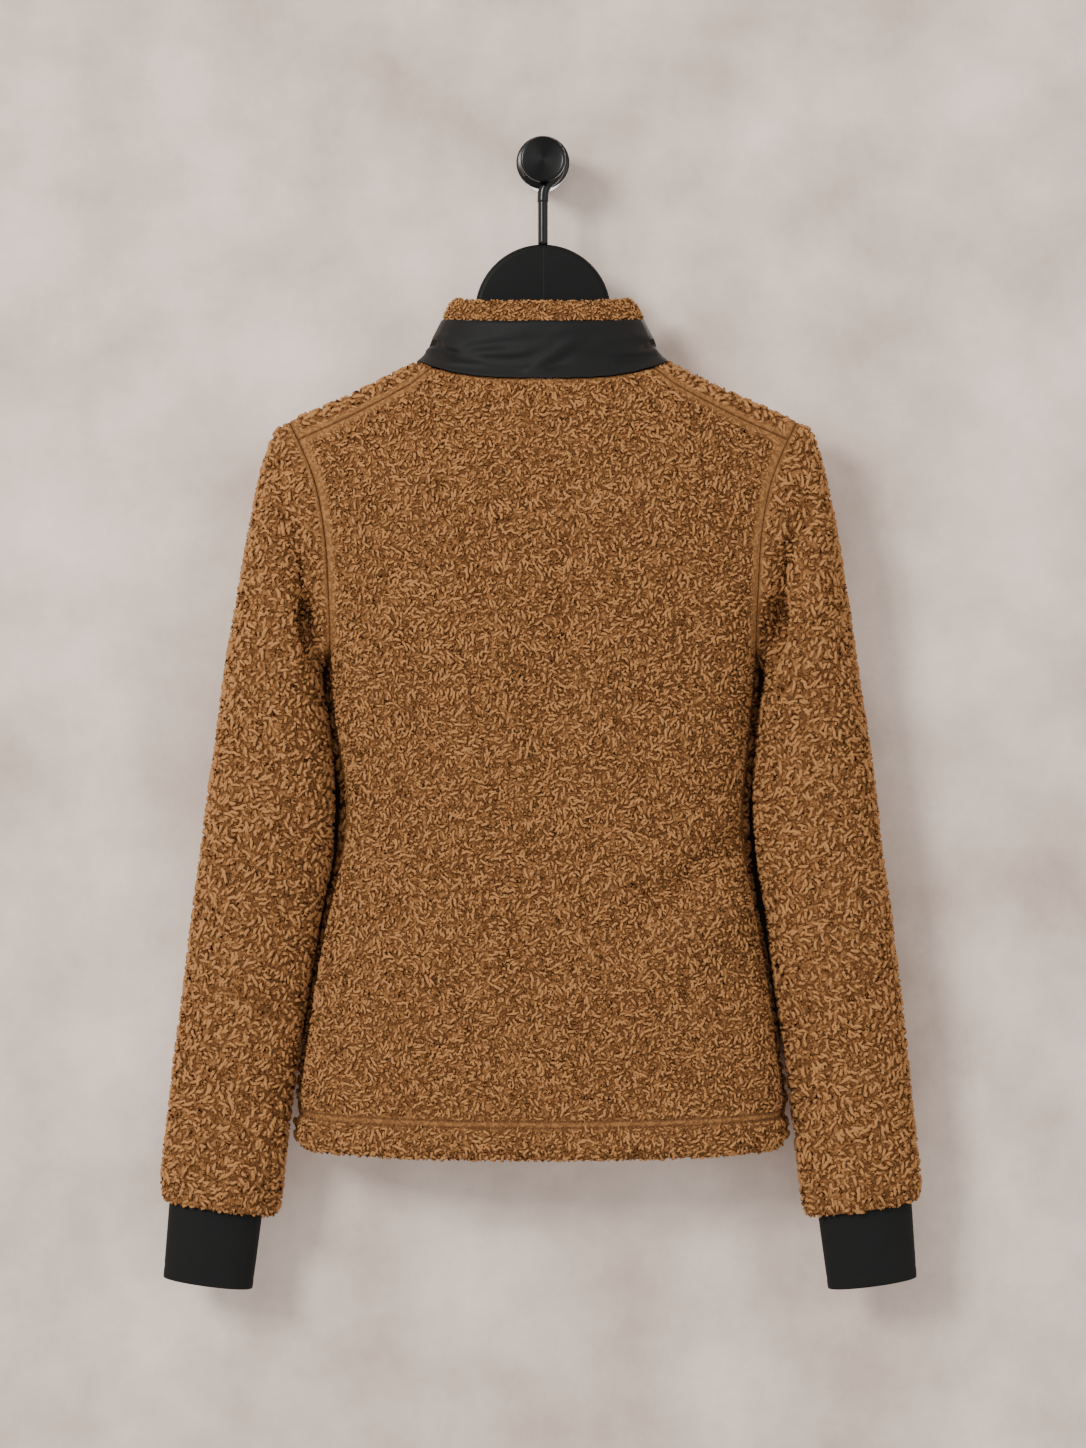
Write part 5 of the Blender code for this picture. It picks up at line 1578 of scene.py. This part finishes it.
# Collar: the stand with its creases, which the front repeats a little wider and lower, and the roll
CREASE_DEPTH = 1.5
CREASE_FADE = 0.006
FRONT_CREASE_X, FRONT_CREASE_Z, FRONT_CREASE_LOW = -1.05, 0.8, 0.02
neck = neck_line(panels)
rings, level = collar_rings(neck)
band_out = -level[None]
crease = CREASE_DEPTH * fold_push(BAND_CREASES, rings[..., 0], rings[..., 2])
front_crease = fold_push(
    BAND_CREASES, rings[..., 0] * FRONT_CREASE_X, rings[..., 2] * FRONT_CREASE_Z - FRONT_CREASE_LOW
)
fade = np.clip(edge_distance(rings, ("low", "high")) / CREASE_FADE, 0, 1)
crease = np.where(rings[..., 1] < HANG_Y, crease, front_crease) * fade
band_face = rings + band_out * crease[..., None]
piece = loop_shell(
    "collar_band_cloth", rounded_wall(band_face, rings + level[None] * BAND, 4), False, [woven]
)
keep(piece, "woven", "collar_band")

top = rings[-1]
rise = np.array([0, 0, 1])
roll = curved([top + rise * up * MM + level * inset * MM for up, inset in ROLL], 3)
around_roll = np.gradient(roll, axis=0)
roll_normal = unit(np.cross(np.gradient(roll, axis=1), around_roll))
core = roll.mean(axis=0)
roll_normal *= np.sign(((roll - core) * roll_normal).sum(-1).mean())
roll_ground = roll - roll_normal * PILE
piece = loop_shell("collar_roll_cloth", roll_ground[:-1], False, [ground, backing])
unpressed = np.zeros(roll_ground[:-1].shape[:2])
carry(piece, pressed=unpressed, stitched=unpressed)
keep(piece, "fleece", "collar_roll")
skins["collar_roll_pile"] = (roll_ground[:-3], np.ones(roll_ground[:-3].shape[:2]), ROLL_CURLS)

for number, (name, (grid, stand, size)) in enumerate(sorted(skins.items())):
    for piece in curls(name.split(), pile_skin(name, grid, stand), size, FIRST_SEED + number, pile):
        keep(piece, "fleece")


# Zip, along the fronts' middle edges, the stand and the roll

front_lines = np.mean([panels[n].point[:, 0] for n in PANEL_NAMES[:2]], axis=0)
path = np.concatenate([front_lines[:1], front_lines[len(HEM_ROWS) :: 2], rings[1:, 0], roll[6:9, 0]])
path = path[:, 1:]
along = unit(np.gradient(path, axis=0))
out = np.stack([along[:, 1], -along[:, 0]], axis=-1)
face = path - out * ZIP_SET_BACK
run = np.concatenate([[0], np.cumsum(np.linalg.norm(np.diff(face, axis=0), axis=1))])


def zip_points(at, from_middle, height):
    """Points at distances along the zip, from its middle, and above its tape's face."""
    y, z = (np.interp(at, run, face[:, i]) for i in range(2))
    oy, oz = (np.interp(at, run, out[:, i]) for i in range(2))
    return np.stack([from_middle, y + oy * height, z + oz * height], -1)


for side, way in (("left", -1), ("right", 1)):
    spots = np.linspace(0, run[-1], ZIP_ROWS)
    section = np.array(ZIP_SECTION) * MM
    grid = zip_points(spots[None], way * section[:, :1] + spots[None] * 0, section[:, 1:])
    keep(loop_shell("zip_" + side + "_tape", grid, False, [tape]), "zip_tape", "zip_" + side)
    turns = int((run[-1] - 2 * COIL_END) / COIL_PITCH)
    angle = np.linspace(0, TURN * turns, turns * COIL_POINTS + 1)
    spots = COIL_END + COIL_PITCH * angle / TURN + (0.5 * COIL_PITCH if way > 0 else 0)
    x = way * (COIL_MIDDLE - COIL_REACH * np.cos(angle))
    coil = zip_points(spots, x, COIL_LIFT + COIL_HIGH * 0.5 * (1 + np.sin(angle)))
    keep(tube("zip_" + side + "_coil", coil, COIL_WIRE, 4, [coil_paint]), "zip_tape")

for name in ("zip_slider", "zip_pull"):
    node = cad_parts[name]
    node.data.materials.clear()
    node.data.materials.append(metal_paint)


def hanger_edge():
    """The hanger's edge seen from behind: the dome, the arms below the ridge, and back."""
    quarter = np.linspace(math.pi / 2, 0, DOME_STEPS + 1)
    edge = [(DOME_RADIUS * math.cos(a), DOME_CENTRE_Z + DOME_RADIUS * math.sin(a)) for a in quarter]
    spans = np.linspace(HANGER_ARM_START, HANGER_TIP, HANGER_ARM_STEPS)
    slope = -SHOULDER_SLOPE * spans / np.hypot(spans, RIDGE_ROUND)
    line = ridge(spans) - (FLEECE + HANGER_SEAT) * np.sqrt(1 + slope**2)
    edge += list(zip(spans, line))
    deep = np.interp(spans, (HANGER_ARM_START, HANGER_TIP), (HANGER_DEEP, HANGER_TIP_DEEP))
    edge.append((HANGER_TIP + HANGER_TIP_ROUND[0], line[-1] - HANGER_TIP_ROUND[1]))
    low_edge = list(zip(spans, line - deep))[::-1]
    edge += low_edge + [(x, low_edge[-1][1] + up) for x, up in HANGER_ARCH]
    return edge + [(-x, z) for x, z in edge[1:-1]][::-1]


def plate(name, edge, half_thick, material):
    """A plate between two copies of an edge, half_thick before and behind the hanger's middle plane,
    with its rims rounded."""
    count = len(edge)
    points = [(float(x), HANGER_Y + side * half_thick, float(z)) for side in (-1, 1) for x, z in edge]
    faces = [tuple(range(count)), tuple(range(count, 2 * count))[::-1]]
    faces += [((k + 1) % count, k, count + k, count + (k + 1) % count) for k in range(count)]
    mesh = bpy.data.meshes.new(name)
    mesh.from_pydata(points, [], faces)
    mesh.materials.append(material)
    made = added(name, mesh)
    work = bmesh.new()
    work.from_mesh(mesh)
    bmesh.ops.recalc_face_normals(work, faces=work.faces)
    work.to_mesh(mesh)
    work.free()
    rounding = made.modifiers.new("rounding", "BEVEL")
    rounding.width, rounding.segments = HANGER_ROUND, HANGER_ROUND_STEPS
    rounding.limit_method, rounding.angle_limit = "ANGLE", HANGER_RIM_TURN
    mesh.shade_smooth()
    mesh.set_sharp_from_angle(angle=HANGER_SHARP_TURN)
    return made


keep(plate("hanger_body", hanger_edge(), HANGER_HALF_THICK, satin), "hanger", "hanger")

# Hook: a straight rod that bends into a loop round the knob's neck, with a collar on it under the knob
loop_z = NECK_RADIUS + SEAM_GAP + ROD_RADIUS - LOOP_RADIUS
bend = [
    (LOOP_RADIUS * math.cos(math.radians(d)), loop_z + LOOP_RADIUS * math.sin(math.radians(d)))
    for d in LOOP_DEGREES
]
rod = curved([(x, HANGER_Y, z) for x, z in (*ROD_LINE, *ROD_BEND, *bend)], 5)
keep(tube("hanger_hook_rod", rod, ROD_RADIUS, ROD_SIDES, [gloss]), "steel_rod", "hanger_hook")
ferrule = rod[(rod[:, 2] > FERRULE_LOW) & (rod[:, 2] < FERRULE_TOP) & (np.arange(len(rod)) < 40)]
keep(tube("hanger_hook_ferrule", ferrule, FERRULE_RADIUS, ROD_SIDES, [gloss]), "steel_rod")

# Knob: its profile turned about the y axis
angles = TURN * np.arange(KNOB_SIDES) / KNOB_SIDES
rings_of_knob = np.array(
    [
        np.stack([r * np.cos(angles), np.full(KNOB_SIDES, -out), r * np.sin(angles)], -1) * MM
        for out, r in (*KNOB, *KNOB_FACE)
    ]
)
ends = [(0, 0, 0), (0, -KNOB_FACE[-1][0] * MM, 0)]
knob = lathe_like("wall_knob_body", rings_of_knob, ends, [turned])
knob.data.set_sharp_from_angle(angle=KNOB_SHARP_TURN)
keep(knob, "knob", "wall_knob")


# Wall, light and camera

CAMERA_FAR = 2.9
CAMERA_Z = -0.449
PHOTO = (1086, 1448)
FOCAL_PIXELS = 3564
SENSOR = 36
AIM = (0, 0, -0.45)
WALL_Y, WALL_HALF = 0.0006, 4
ROOM_COLOUR, ROOM_POWER = (1.0, 0.985, 0.97, 1), 0.95

mesh = bpy.data.meshes.new("wall")
corners = [(x * WALL_HALF, WALL_Y, z * WALL_HALF) for x, z in ((-1, -1), (1, -1), (1, 1), (-1, 1))]
mesh.from_pydata(corners, [], [(0, 1, 2, 3)])
mesh.materials.append(wall_finish("plaster", linear(246, 227, 214), linear(190, 169, 155)))
backdrop = added("wall", mesh)

camera = bpy.data.cameras.new("camera")
camera.sensor_width = SENSOR
camera.lens = SENSOR * FOCAL_PIXELS / PHOTO[1]
eye = added("camera", camera)
eye.location = (0, -CAMERA_FAR, CAMERA_Z)
eye.rotation_euler = (math.pi / 2, 0, 0)
bpy.context.scene.camera = eye


def lamp(name, place, size, power, colour):
    """A square soft light at a place, facing the middle of the jacket."""
    light = bpy.data.lights.new(name, "AREA")
    light.size, light.energy, light.color = size, power, colour
    thing = added(name, light)
    thing.location = place
    thing.rotation_euler = (Vector(AIM) - Vector(place)).to_track_quat("-Z", "Y").to_euler()
    return thing


lamp("key", (-1.95, -3.0, 0.85), 0.9, 104, (1.0, 0.99, 0.97))
lamp("fill", (2.6, -3.0, -0.2), 2.0, 14, (1.0, 0.99, 0.98))

# A lamp for the fronts, which only views from behind the wall show, so the wall doesn't block it
behind = lamp("behind", (0.5, 2.8, 0.2), 1.6, 28, (1.0, 0.99, 0.98))
let_through = bpy.data.collections.new("let_through")
let_through.objects.link(backdrop)
behind.light_linking.blocker_collection = let_through
let_through.collection_objects[0].light_linking.link_state = "EXCLUDE"
world = bpy.data.worlds.new("soft_room")
world.use_nodes = True
room = world.node_tree.nodes["Background"]
room.inputs["Color"].default_value = ROOM_COLOUR
room.inputs["Strength"].default_value = ROOM_POWER
bpy.context.scene.world = world
